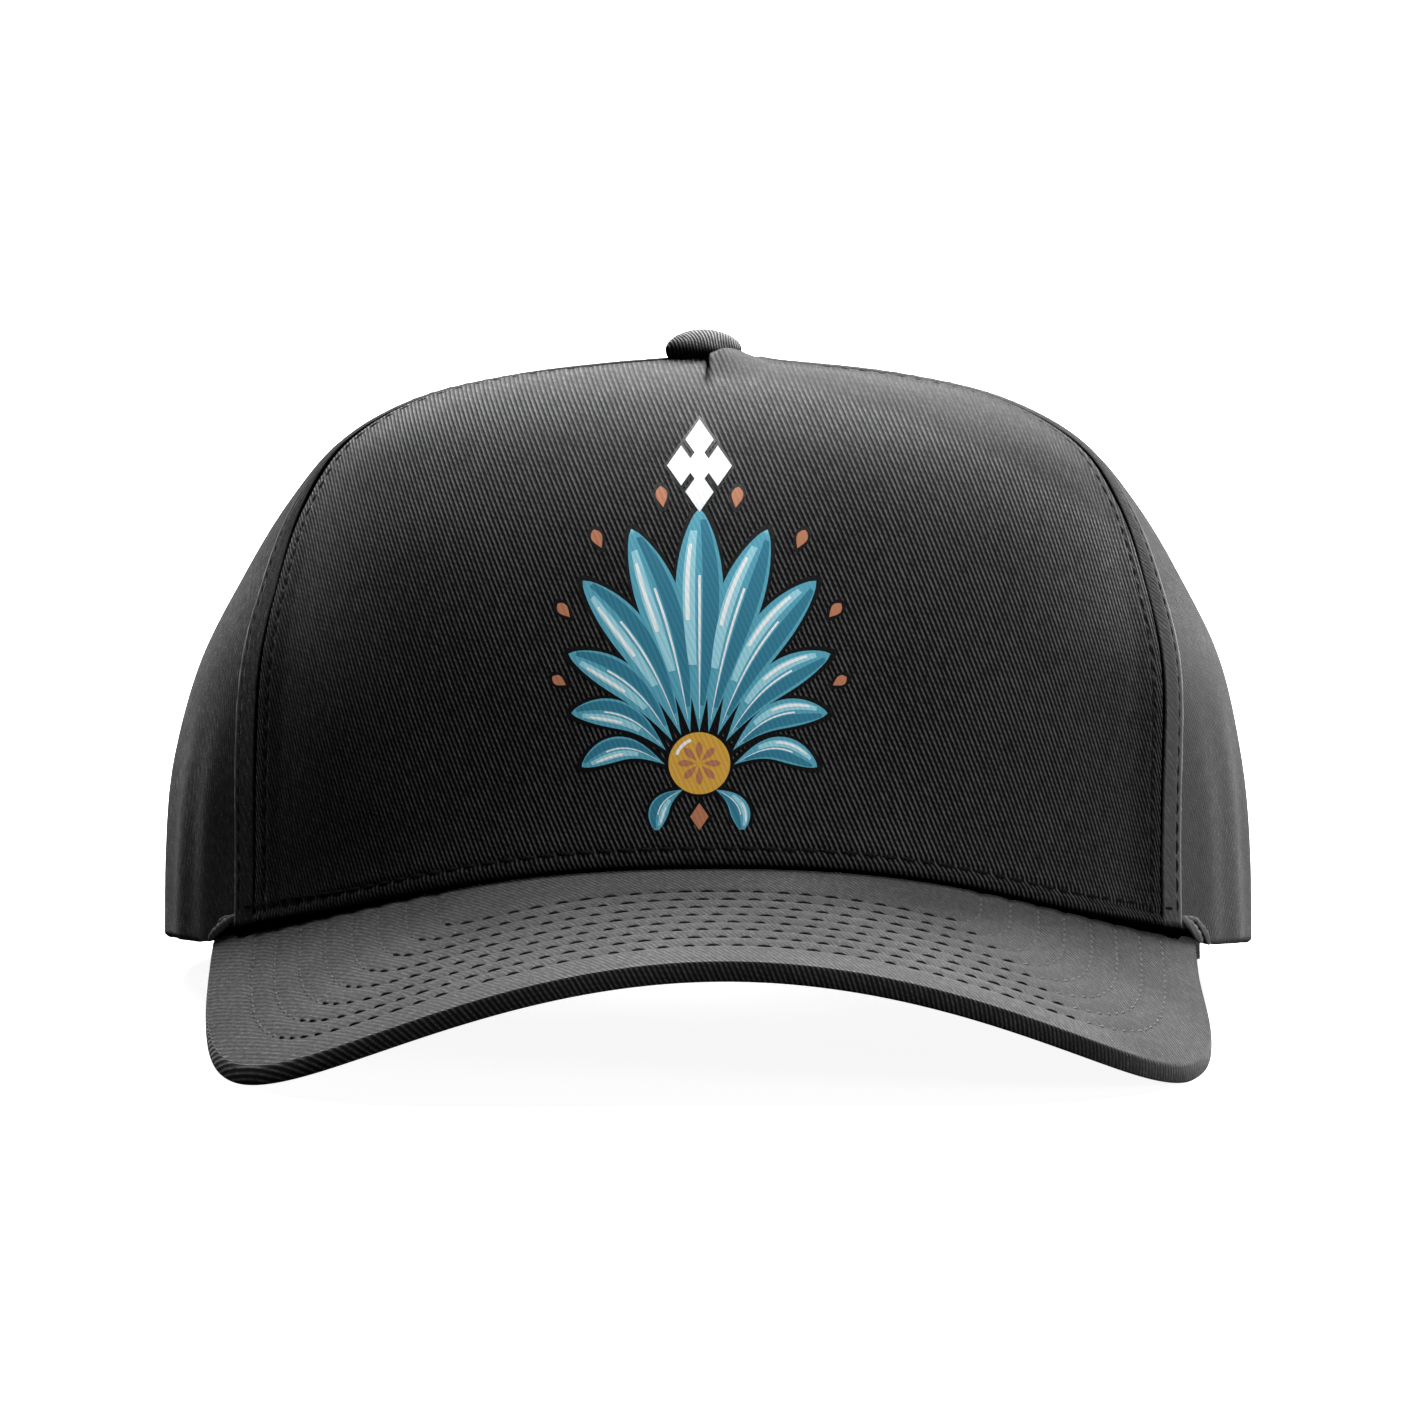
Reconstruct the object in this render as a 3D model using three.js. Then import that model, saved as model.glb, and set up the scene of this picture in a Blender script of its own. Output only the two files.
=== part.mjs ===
// A five-panel cap with a curved bill, in millimetres.
// Each sewn piece is one closed wall of cloth. The crown is first drawn upright, with its front at -Y and
// its sides at +X and -X, and the whole cap is then tipped back until it stands on a table by itself:
// on the two corners of the bill and on the hem at the back.
import * as THREE from "three";

// Crown: one row for each level section from the hem to the button.
// seam is the angle from the front at which the front panel's seam crosses the section, in degrees.
const SECTIONS = [
  { height: 0.0, halfWidth: 91.9, front: 101.0, back: 99.0, seam: 53.5 },
  { height: 16.0, halfWidth: 91.5, front: 100.8, back: 99.3, seam: 53.7 },
  { height: 32.0, halfWidth: 90.3, front: 99.6, back: 98.0, seam: 55.0 },
  { height: 48.0, halfWidth: 86.8, front: 96.6, back: 94.0, seam: 58.5 },
  { height: 62.0, halfWidth: 80.0, front: 91.0, back: 87.0, seam: 64.0 },
  { height: 75.0, halfWidth: 72.2, front: 82.0, back: 76.5, seam: 70.5 },
  { height: 85.5, halfWidth: 63.2, front: 69.5, back: 63.5, seam: 75.5 },
  { height: 92.7, halfWidth: 50.0, front: 53.5, back: 48.5, seam: 77.0 },
  { height: 96.5, halfWidth: 34.2, front: 36.7, back: 33.2, seam: 75.0 },
  { height: 98.5, halfWidth: 17.0, front: 18.2, back: 16.7, seam: 73.0 },
  { height: 99.7, halfWidth: 0.0, front: 0.0, back: 0.0, seam: 73.0 },
];
const SQUARENESS = 2.15; // 2 makes each section an ellipse, and more makes it squarer
const BACK_SEAM = 117; // degrees from the front
const CENTRE_BACK = 180;
const CROWN_TOP = 0.985; // share of the way up at which the panels end, under the button
const PANEL_THICK = 2.0;
const SEAM_GAP = 0.4;
const PIECE_GAP = 0.3;

// Soft upright folds in the side panels, one row each: where, how wide and how far it stands out.
const FOLDS = [
  { angle: 64.8, halfAngle: 3.6, depth: 0.6 },
  { angle: 73.6, halfAngle: 3.8, depth: 0.8 },
  { angle: 88.0, halfAngle: 6.0, depth: 0.7 },
  { angle: 101.0, halfAngle: 5.5, depth: 0.6 },
];
const FOLD_HEIGHT = 52; // where the folds have died out

// The pinched dart in the front panel, just in front of the button.
const DART = { height: 2.4, step: 1.2, halfWidth: 7.5, start: 7.0, full: 10.0, fade: 16.0, end: 38.0 };

// Bill.
const BILL_END = 63; // degrees from the front at which the bill leaves the hem
const BILL_TIP = 164.8; // from the cap's middle to the front edge
const BILL_HALF_WIDTH = 82.4;
const BILL_SQUARENESS = 3.6;
const BILL_SLOPE = 10.85; // degrees below level at the middle
const BILL_ROOT_HEIGHT = 18.2; // height of its top at the front panel, before the dip
const BILL_BEND_ROOT = 147; // radius of the arch at the bill's ends
const BILL_BEND_TIP = 117.5; // and at its front edge
const BILL_LEAN_ROOT = -1.0; // how far the arch stands higher on the right than on the left
const BILL_LEAN_TIP = 1.95;
const BILL_DIP = { depth: 1.2, halfWidth: 28, length: 50 }; // pressed flat by the stiff front panel
const BILL_THICK = 3.4;
const BILL_TUCK = 1.2; // how far it reaches in under the panels
const BILL_EDGE_ROUND = 0.9;
const BILL_FADE = 9; // degrees behind the bill's end in which the hem comes down to level
const BILL_GAP = PIECE_GAP + 0.05; // between its top and the hem that lies on it
const BILL_END_MARGIN = 0.006; // share of its outline that is left out at each end, under the hem

// Back opening, strap and sweatband.
const ARCH_HALF_WIDTH = 36;
const ARCH_HEIGHT = 52;
const STRAP_HEIGHT = 21;
const STRAP_OVERLAP = 8; // how far each end of the strap runs on inside the panels
const STRAP_THICK = 1.6;
const BAND_HEIGHT = 32;
const BAND_THICK = 1.5;

// Button on top. Its dome begins a few degrees under its widest place, which lies low.
const BUTTON_RADIUS = 6.3;
const BUTTON_HEIGHT = 4.6;
const BUTTON_OFFSET = -0.8;
const BUTTON_WIDEST = 0.32; // share of its height
const BUTTON_FOOT = { radius: 0.86 * BUTTON_RADIUS, height: 0.1, turn: -20 };
const SHANK_RADIUS = 1.2;
const SHANK_LENGTH = 4.0;

// How the cap stands: on the bill's corners and on the back hem, which its weight presses flat by this much.
const HEM_PRESS = 0.8;
const LARGEST_TILT = 20; // degrees, the upper limit when the tilt is searched for
const CENTRE_Y = -33.0; // the middle of the cap's length, which becomes y = 0

// How finely each piece is faceted.
const FRONT_GRID = { columns: 26, rows: 15 };
const SIDE_GRID = { columns: 20, rows: 14 };
const BACK_GRID = { plain: 7, arch: 7, rows: 14 };
const BILL_GRID = { columns: 34, rows: 8 };
const BAND_GRID = { columns: 64, rows: 2 };
const STRAP_GRID = { columns: 14, rows: 2 };
const BUTTON_GRID = { steps: 7, sides: 24 };
const EDGE_SAMPLES = 500;
const ARC_SAMPLES = 2000;
const HALVINGS = 40; // of a range, when a value is searched for

const CROWN_COLOUR = 0x222224;
const BAND_COLOUR = 0x18181a;
const STRAP_COLOUR = 0x101012;

const rad = THREE.MathUtils.degToRad;
const clamp = THREE.MathUtils.clamp;
const smooth = THREE.MathUtils.smoothstep;
const lerp = THREE.MathUtils.lerp;
const spread = (from, to, steps) => Array.from({ length: steps + 1 }, (_, k) => lerp(from, to, k / steps));
const TOP_HEIGHT = SECTIONS.at(-1).height;

/** One column of SECTIONS at a share s of the way up, on a smooth curve through its rows. */
function section(column, s) {
  const last = SECTIONS.length - 1;
  const place = clamp(s, 0, 1) * last;
  const i = Math.min(Math.floor(place), last - 1);
  const t = place - i;
  const row = (k) => SECTIONS[clamp(k, 0, last)][column];
  const before = i > 0 ? row(i - 1) : 2 * row(0) - row(1);
  const after = i + 2 <= last ? row(i + 2) : 2 * row(last) - row(last - 1);
  const a = row(i);
  const b = row(i + 1);
  const rise = (b - before) / 2;
  const fall = (after - a) / 2;
  const cubic = 2 * a - 2 * b + rise + fall;
  const square = 3 * b - 3 * a - 2 * rise - fall;
  return a + t * (rise + t * (square + t * cubic));
}

/** The share of the way up at which the crown reaches a height. */
function shareAtHeight(height) {
  let low = 0;
  let high = 1;
  for (let k = 0; k < HALVINGS; k++) {
    const middle = (low + high) / 2;
    if (section("height", middle) < height) {
      low = middle;
    } else {
      high = middle;
    }
  }
  return (low + high) / 2;
}

const signedPower = (value, power) => Math.sign(value) * Math.abs(value) ** power;

/** How far the dart lifts the front panel at a place seen from above. */
function dartLift(x, y) {
  const reach = Math.hypot(x, y);
  const along = smooth(reach, DART.start, DART.full) * (1 - smooth(reach, DART.fade, DART.end));
  if (y >= 0 || along === 0) return 0;
  const across = smooth(x, 0, DART.step) * Math.exp(-((Math.max(x - DART.step, 0) / DART.halfWidth) ** 2));
  return DART.height * along * across;
}

/** How far the soft folds push the side panels out. */
function foldDepth(angle, height) {
  const low = 1 - smooth(height, FOLD_HEIGHT / 3, FOLD_HEIGHT);
  let depth = 0;
  for (const fold of FOLDS) {
    const away = (Math.abs(angle) - fold.angle) / fold.halfAngle;
    depth += fold.depth * Math.exp(-away * away);
  }
  return depth * low;
}

/** A point of the crown's outer face: angle in degrees from the front, s the share of the way up. */
function crownPoint(angle, s) {
  const sine = Math.sin(rad(angle));
  const cosine = Math.cos(rad(angle));
  const power = 2 / SQUARENESS;
  const height = section("height", s);
  const out = foldDepth(angle, height);
  const halfWidth = section("halfWidth", s) + out;
  const reach = section(cosine > 0 ? "front" : "back", s) + out;
  const x = halfWidth * signedPower(sine, power);
  const y = -reach * signedPower(cosine, power);
  return new THREE.Vector3(x, y, height + dartLift(x, y));
}

/** A point at a depth inside the crown's outer face. */
function crownInside(angle, s, depth) {
  const angleStep = 0.25;
  const shareStep = 0.004;
  const across = crownPoint(angle + angleStep, s).sub(crownPoint(angle - angleStep, s));
  const below = Math.max(s - shareStep, 0);
  const up = crownPoint(angle, s + shareStep).sub(crownPoint(angle, below));
  const outward = across.cross(up).normalize();
  return crownPoint(angle, s).addScaledVector(outward, -depth);
}

/** Height of the bill's top face at a place seen from above. */
function billTop(x, y) {
  const forward = -y - SECTIONS[0].front;
  const rootForward = -billOutline(0).y - SECTIONS[0].front;
  const tipForward = BILL_TIP - SECTIONS[0].front;
  const share = clamp((forward - rootForward) / (tipForward - rootForward), 0, 1);
  const bend = lerp(BILL_BEND_ROOT, BILL_BEND_TIP, share);
  const droop = bend - Math.sqrt(bend * bend - x * x);
  const side = clamp(x / BILL_HALF_WIDTH, -1, 1);
  const lean = lerp(BILL_LEAN_ROOT, BILL_LEAN_TIP, share) * side * (1 - side ** 4);
  const dip = BILL_DIP.depth * Math.exp(-((x / BILL_DIP.halfWidth) ** 2));
  const flat = dip * (1 - smooth(forward, 0, BILL_DIP.length));
  return BILL_ROOT_HEIGHT - Math.tan(rad(BILL_SLOPE)) * forward - droop + lean - flat;
}

/** The bill's outline seen from above, from one end (0) over the tip (0.5) to the other (1). */
function billOutline(share) {
  const turn = Math.PI * (share - 0.5);
  const power = 2 / BILL_SQUARENESS;
  const rootY = -SECTIONS[0].front * Math.cos(rad(BILL_END)) ** (2 / SQUARENESS);
  const x = BILL_HALF_WIDTH * signedPower(Math.sin(turn), power);
  const y = rootY - (BILL_TIP + rootY) * Math.abs(Math.cos(turn)) ** power;
  return new THREE.Vector3(x, y, 0);
}

class BillOutline extends THREE.Curve {
  getPoint(share, target = new THREE.Vector3()) {
    return target.copy(billOutline(share));
  }
}

/** How far below the origin the bill's corners stand, once the cap is tipped back by an angle in radians. */
function cornerDrop(tilt) {
  let lowest = 0;
  for (const share of spread(0, 1, EDGE_SAMPLES)) {
    const edge = billOutline(share);
    const under = billTop(edge.x, edge.y) - BILL_THICK + BILL_EDGE_ROUND / 2;
    lowest = Math.min(lowest, under * Math.cos(tilt) - edge.y * Math.sin(tilt));
  }
  return -lowest;
}

/** The angle in radians by which the cap is tipped back when its back hem is pressed on the table. */
function restingTilt() {
  let low = 0;
  let high = rad(LARGEST_TILT);
  for (let k = 0; k < HALVINGS; k++) {
    const tilt = (low + high) / 2;
    const hemDrop = SECTIONS[0].back * Math.sin(tilt);
    if (hemDrop < cornerDrop(tilt) + HEM_PRESS) {
      low = tilt;
    } else {
      high = tilt;
    }
  }
  return (low + high) / 2;
}
const TILT = restingTilt();
const TABLE_DROP = cornerDrop(TILT);

/** Height of the table's plane, in the upright cap's own frame, at a distance y. */
function tableAt(y) {
  return (y * Math.sin(TILT) - TABLE_DROP) / Math.cos(TILT);
}

/** Height of the hem: on the bill in front, level at the sides and flat on the table behind. */
function hemHeight(angle, x, y) {
  const behind = smooth(Math.abs(angle), BILL_END, BILL_END + BILL_FADE);
  const onBill = behind < 1 ? billTop(x, y) + BILL_GAP : 0;
  return Math.max(lerp(onBill, 0, behind), tableAt(y));
}

/** The share of the way up at which the crown's outer face meets its hem. */
function hemShare(angle) {
  const point = crownPoint(angle, 0);
  return shareAtHeight(Math.max(hemHeight(angle, point.x, point.y), 0));
}

/** Joins rings of equal length into one closed body. A ring is listed up one face and down the other. */
function loft(rings) {
  const size = rings[0].length;
  const positions = rings.flatMap((ring) => ring.flatMap((p) => [p.x, p.y, p.z]));
  const faces = [];
  const quad = (a, b, c, d) => faces.push(a, b, c, a, c, d);
  for (let i = 0; i + 1 < rings.length; i++) {
    for (let k = 0; k < size; k++) {
      const next = (k + 1) % size;
      quad(i * size + k, (i + 1) * size + k, (i + 1) * size + next, i * size + next);
    }
  }
  const cap = (start, flip) => {
    for (let k = 0; k + 1 < size / 2; k++) {
      const [a, b, c, d] = [k, k + 1, size - 2 - k, size - 1 - k].map((v) => start + v);
      const add = (p, q, r) => (flip ? faces.push(p, r, q) : faces.push(p, q, r));
      if (b !== c) add(a, b, c);
      add(a, c, d);
    }
  };
  cap(0, false);
  cap((rings.length - 1) * size, true);
  return closedGeometry(positions, faces);
}

/** A geometry of these faces, turned round if they point inwards. */
function closedGeometry(positions, faces) {
  const corner = (v) => new THREE.Vector3().fromArray(positions, 3 * v);
  let volume = 0;
  for (let f = 0; f < faces.length; f += 3) {
    const [a, b, c] = [0, 1, 2].map((k) => corner(faces[f + k]));
    volume += a.dot(b.cross(c));
  }
  if (volume < 0) {
    for (let f = 0; f < faces.length; f += 3) {
      [faces[f + 1], faces[f + 2]] = [faces[f + 2], faces[f + 1]];
    }
  }
  const geometry = new THREE.BufferGeometry();
  geometry.setAttribute("position", new THREE.Float32BufferAttribute(positions, 3));
  geometry.setIndex(faces);
  geometry.computeVertexNormals();
  return geometry;
}

/** A section through a cloth wall at one column: up its outer face and down its inner face. */
function wallRing(shares, angleAt, outerDepth, thick, trim) {
  const face = (depth, isFoot) =>
    shares.map((s, row) => {
      const angle = angleAt(s);
      const point = crownInside(angle, s, depth);
      if (isFoot && row === 0) point.z = hemHeight(angle, point.x, point.y);
      return point;
    });
  return [...face(outerDepth, trim), ...face(outerDepth + thick, trim).reverse()];
}

/** The angle that a gap at a seam takes at one height. */
function gapAngle(angle, s) {
  const step = 0.5;
  const width = crownPoint(angle + step, s).distanceTo(crownPoint(angle - step, s));
  return ((SEAM_GAP / 2) * 2 * step) / width;
}

/** A crown panel between two seams, which are functions of the share of the way up. */
function panel(from, to, columns, rows) {
  const rings = spread(0, 1, columns).map((across) => {
    const shares = spread(hemShare(lerp(from(0), to(0), across)), CROWN_TOP, rows);
    const angleAt = (s) => {
      const low = from(s) + gapAngle(from(s), s);
      const high = to(s) - gapAngle(to(s), s);
      return lerp(low, high, across);
    };
    return wallRing(shares, angleAt, 0, PANEL_THICK, true);
  });
  return loft(rings);
}

/** A back panel: plain from its side seam to the arch, and cut along the arch up to the middle. */
function backPanel(side, plainColumns, archColumns, rows) {
  const archStart = backAngle(ARCH_HALF_WIDTH);
  const plain = spread(BACK_SEAM, archStart, plainColumns).map((angle) => ({ angle, foot: null }));
  const arch = spread(0, Math.PI / 2, archColumns)
    .slice(1)
    .map((turn) => ({
      angle: backAngle(ARCH_HALF_WIDTH * Math.cos(turn)),
      foot: ARCH_HEIGHT * Math.sin(turn),
    }));
  const rings = [...plain, ...arch].map(({ angle, foot }) => {
    const start = foot === null ? hemShare(angle) : shareAtHeight(Math.max(foot, tableAt(SECTIONS[0].back)));
    const shares = spread(start, CROWN_TOP, rows);
    const angleAt = (s) => {
      const low = BACK_SEAM + gapAngle(BACK_SEAM, s);
      const high = CENTRE_BACK - gapAngle(CENTRE_BACK, s);
      return side * clamp(angle, low, high);
    };
    return wallRing(shares, angleAt, 0, PANEL_THICK, foot === null);
  });
  return loft(rings);
}

/** The angle of the hem's point at a distance x from the middle of the back. */
function backAngle(x) {
  const sine = (x / SECTIONS[0].halfWidth) ** (SQUARENESS / 2);
  return CENTRE_BACK - THREE.MathUtils.radToDeg(Math.asin(sine));
}

/** A band that lies inside the panels and stands on the hem. */
function innerBand(from, to, grid, height, thick) {
  const depth = PANEL_THICK + PIECE_GAP;
  const rings = spread(from, to, grid.columns).map((angle) => {
    const foot = hemShare(angle);
    const top = shareAtHeight(section("height", foot) + height);
    return wallRing(spread(foot, top, grid.rows), () => angle, depth, thick, true);
  });
  return loft(rings);
}

/** The bill: a curved board covered in cloth, from under the hem to its rounded front edge. */
function bill(columns, rows) {
  const outline = new BillOutline();
  outline.arcLengthDivisions = ARC_SAMPLES;
  const middle = crownPoint(0, 0).lerp(crownPoint(CENTRE_BACK, 0), 0.5);
  const rings = spread(0, 1, columns).map((across) => {
    const angle = lerp(-BILL_END, BILL_END, across);
    const hem = crownPoint(angle, 0);
    const inward = middle.clone().sub(hem).setZ(0).setLength(BILL_TUCK);
    const root = hem.clone().add(inward);
    const edge = outline.getPointAt(lerp(BILL_END_MARGIN, 1 - BILL_END_MARGIN, across));
    const out = edge.clone().sub(root).setZ(0);
    const length = out.length();
    out.normalize();
    const at = (distance, drop) => {
      const p = root.clone().addScaledVector(out, distance);
      p.z = billTop(p.x, p.y) - drop;
      return p;
    };
    const flat = Math.max(length - BILL_EDGE_ROUND, length / 2);
    const places = spread(0, flat, rows);
    const top = places.map((d) => at(d, 0));
    const under = places.map((d) => at(d, BILL_THICK)).reverse();
    return [...top, at(length, BILL_EDGE_ROUND), at(length, BILL_THICK - BILL_EDGE_ROUND), ...under];
  });
  return loft(rings);
}

/** The covered button and the shank that holds it in the hole where the panels meet. */
function button() {
  const profile = [[0, -SHANK_LENGTH], [SHANK_RADIUS, -SHANK_LENGTH], [SHANK_RADIUS, PIECE_GAP]];
  profile.push([BUTTON_FOOT.radius, BUTTON_FOOT.height]);
  const widest = BUTTON_HEIGHT * BUTTON_WIDEST;
  for (const turn of spread(rad(BUTTON_FOOT.turn), Math.PI / 2, BUTTON_GRID.steps)) {
    profile.push([BUTTON_RADIUS * Math.cos(turn), widest + (BUTTON_HEIGHT - widest) * Math.sin(turn)]);
  }
  profile.at(-1)[0] = 0;
  const lathe = new THREE.LatheGeometry(profile.map(([r, h]) => new THREE.Vector2(r, h)), BUTTON_GRID.sides);
  return lathe.rotateX(Math.PI / 2);
}

function cloth(name, geometry, color) {
  const material = new THREE.MeshStandardMaterial({ color, roughness: 0.9, metalness: 0 });
  const mesh = new THREE.Mesh(geometry, material);
  mesh.name = name;
  return mesh;
}

const frontSeam = (side) => (s) => side * section("seam", s);
const backSeam = (side) => () => side * BACK_SEAM;

const upright = new THREE.Group();
const frontWall = panel(frontSeam(-1), frontSeam(1), FRONT_GRID.columns, FRONT_GRID.rows);
upright.add(cloth("front_panel", frontWall, CROWN_COLOUR));
for (const [side, word] of [[-1, "left"], [1, "right"]]) {
  const [from, to] = side < 0 ? [backSeam(-1), frontSeam(-1)] : [frontSeam(1), backSeam(1)];
  const sideWall = panel(from, to, SIDE_GRID.columns, SIDE_GRID.rows);
  upright.add(cloth(`side_panel_${word}`, sideWall, CROWN_COLOUR));
  const backWall = backPanel(side, BACK_GRID.plain, BACK_GRID.arch, BACK_GRID.rows);
  upright.add(cloth(`back_panel_${word}`, backWall, CROWN_COLOUR));
}
upright.add(cloth("bill", bill(BILL_GRID.columns, BILL_GRID.rows), CROWN_COLOUR));

const strapEnd = backAngle(ARCH_HALF_WIDTH + STRAP_OVERLAP);
const bandEnd = backAngle(ARCH_HALF_WIDTH + STRAP_OVERLAP + 2 * PIECE_GAP);
const band = innerBand(-bandEnd, bandEnd, BAND_GRID, BAND_HEIGHT, BAND_THICK);
upright.add(cloth("sweatband", band, BAND_COLOUR));
const strap = innerBand(strapEnd, 2 * CENTRE_BACK - strapEnd, STRAP_GRID, STRAP_HEIGHT, STRAP_THICK);
upright.add(cloth("closure_strap", strap, STRAP_COLOUR));

const knob = cloth("button", button(), CROWN_COLOUR);
knob.position.set(BUTTON_OFFSET, 0, TOP_HEIGHT + PIECE_GAP);
upright.add(knob);

upright.rotation.x = -TILT;
const cap = new THREE.Group();
cap.add(upright);
cap.position.set(0, -CENTRE_Y, TABLE_DROP);
export default cap;
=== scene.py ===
"""A five-panel cap with a curved bill: the fine surface, the stitching, the cloth and the studio."""

import math

import bpy
import numpy as np
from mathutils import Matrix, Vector
from mathutils.kdtree import KDTree


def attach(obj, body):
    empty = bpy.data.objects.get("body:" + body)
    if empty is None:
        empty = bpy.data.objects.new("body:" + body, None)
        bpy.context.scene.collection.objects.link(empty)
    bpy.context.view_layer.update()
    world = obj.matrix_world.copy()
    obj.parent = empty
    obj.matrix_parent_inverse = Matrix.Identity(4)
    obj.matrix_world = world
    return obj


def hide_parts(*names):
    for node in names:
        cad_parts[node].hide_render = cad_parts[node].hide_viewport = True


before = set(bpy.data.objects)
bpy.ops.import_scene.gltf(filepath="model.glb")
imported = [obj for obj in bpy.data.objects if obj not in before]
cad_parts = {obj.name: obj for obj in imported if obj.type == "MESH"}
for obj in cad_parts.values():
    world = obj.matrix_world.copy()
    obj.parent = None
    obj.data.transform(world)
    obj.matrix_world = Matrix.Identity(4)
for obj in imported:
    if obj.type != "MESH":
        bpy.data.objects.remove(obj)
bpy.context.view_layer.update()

# Everything is first drawn upright, in mm, with the cap's front at -Y. place() stands it on the table.
# Crown: one row for each level section. Columns: height, half width, reach in front, reach behind,
# and the angle in degrees from the front at which the front panel's seam crosses it.
HEIGHT, HALF_WIDTH, FRONT, BACK, SEAM = range(5)
SECTIONS = np.array([
    [0.0, 91.9, 101.0, 99.0, 53.5],
    [16.0, 91.5, 100.8, 99.3, 53.7],
    [32.0, 90.3, 99.6, 98.0, 55.0],
    [48.0, 86.8, 96.6, 94.0, 58.5],
    [62.0, 80.0, 91.0, 87.0, 64.0],
    [75.0, 72.2, 82.0, 76.5, 70.5],
    [85.5, 63.2, 69.5, 63.5, 75.5],
    [92.7, 50.0, 53.5, 48.5, 77.0],
    [96.5, 34.2, 36.7, 33.2, 75.0],
    [98.5, 17.0, 18.2, 16.7, 73.0],
    [99.7, 0.0, 0.0, 0.0, 73.0],
])
SQUARENESS = 2.15
BACK_SEAM = 117.0
CENTRE_BACK = 180.0
CROWN_TOP = 0.985
TOP_HEIGHT = SECTIONS[-1, HEIGHT]
PANEL_THICK = 1.9

# Soft upright folds in the side panels: angle, half angle, depth.
FOLDS = [(64.8, 3.6, 0.6), (73.6, 3.8, 0.8), (88.0, 6.0, 0.7), (101.0, 5.5, 0.6)]
FOLD_HEIGHT = 52.0
DART_HEIGHT, DART_RIDGE, DART_HALF_WIDTH = 2.4, 2.8, 4.8
DART_START, DART_FULL, DART_FADE, DART_END = 7.0, 10.0, 16.0, 38.0

# The crown leans to the right a little between these heights.
LEAN = 0.6
LEAN_FROM, LEAN_FULL, LEAN_FADE, LEAN_END = 25.0, 55.0, 80.0, 97.0

BILL_END = 63.0
BILL_TIP = 164.8
BILL_HALF_WIDTH = 82.4
BILL_SQUARENESS = 3.6
BILL_SLOPE = math.radians(10.85)
BILL_ROOT_HEIGHT = 18.2
BILL_BEND_ROOT, BILL_BEND_TIP = 147.0, 117.5
BILL_LEAN_ROOT, BILL_LEAN_TIP = -1.0, 1.95
DIP_DEPTH, DIP_HALF_WIDTH, DIP_LENGTH = 1.2, 28.0, 50.0
BILL_THICK = 3.4
BILL_TUCK = 1.2
BILL_FADE = 7.0
UPPER_RADIUS, LOWER_RADIUS = 0.55, 1.1
TABLE_GAP = 0.02

# The bill's rows of stitches, from the outermost: half width, reach of the tip, squareness.
ROWS = [
    (74.74, 153.9, 4.40),
    (70.95, 148.7, 4.67),
    (66.85, 143.4, 5.05),
    (62.67, 138.1, 5.47),
    (58.22, 132.7, 6.18),
    (53.88, 126.8, 7.15),
    (49.27, 120.9, 8.79),
    (44.41, 114.9, 11.5),
]

ARCH_HALF_WIDTH = 36.0
ARCH_HEIGHT = 52.0
STRAP_HEIGHT = 21.0
STRAP_OVERLAP = 8.0
STRAP_THICK = 1.6
BAND_HEIGHT = 32.0
BAND_THICK = 1.5
LINING_DEPTH = 2.3

BUTTON_RADIUS = 6.5
BUTTON_HEIGHT = 4.6
BUTTON_AT = (-0.8, 0.0, TOP_HEIGHT + 0.3)

# How far the hem stands clear of the level at the sides. Columns: angle from the front, left, right.
SIDE_HEM = np.array([
    [63, 2.2, 1.8],
    [70, 2.25, 1.75],
    [78, 2.0, 1.2],
    [87, 1.3, 0.3],
    [95, 0.7, 0.0],
    [110, 0.0, 0.0],
])
TILT = math.radians(4.1195)
TABLE_DROP = 6.3119
SHIFT = 33.0
MM = 0.001


def place(points):
    """Points of the upright cap in millimetres, as it stands on the table, in metres."""
    x, y, z = np.moveaxis(np.asarray(points, float), -1, 0)
    cosine, sine = math.cos(TILT), math.sin(TILT)
    return np.stack([x, y * cosine + z * sine + SHIFT, z * cosine - y * sine + TABLE_DROP], -1) * MM


def smooth(value, low, high):
    t = np.clip((value - low) / (high - low), 0, 1)
    return t * t * (3 - 2 * t)


def bell(value, middle, width):
    return np.exp(-(((value - middle) / width) ** 2))


def unit(vectors):
    return vectors / np.maximum(np.linalg.norm(vectors, axis=-1, keepdims=True), 1e-9)


def power(value, exponent):
    return np.sign(value) * np.abs(value) ** exponent


def section(column, s):
    """A column of SECTIONS at a share s of the way up, on a smooth curve through its rows."""
    rows = SECTIONS[:, column]
    padded = np.concatenate([[2 * rows[0] - rows[1]], rows, [2 * rows[-1] - rows[-2]]])
    where = np.clip(s, 0, 1) * (len(rows) - 1)
    i = np.minimum(np.floor(where).astype(int), len(rows) - 2)
    t = where - i
    before, a, b, after = (padded[i + k] for k in range(4))
    rise, fall = (b - before) / 2, (after - a) / 2
    return a + t * (rise + t * ((3 * b - 3 * a - 2 * rise - fall) + t * (2 * a - 2 * b + rise + fall)))


SHARES = np.linspace(0, 1, 2001)
HEIGHTS = section(HEIGHT, SHARES)


def share_at(height):
    return np.interp(height, HEIGHTS, SHARES)


def dart_lift(x, y):
    reach = np.hypot(x, y)
    along = smooth(reach, DART_START, DART_FULL) * (1 - smooth(reach, DART_FADE, DART_END))
    rise = 0.62 * smooth(x, -0.2, 0.5) + 0.38 * smooth(x, 0.3, DART_RIDGE)
    across = rise * bell(np.maximum(x - DART_RIDGE, 0), 0, DART_HALF_WIDTH)
    return np.where(y < 0, DART_HEIGHT * along * across, 0.0)


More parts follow.
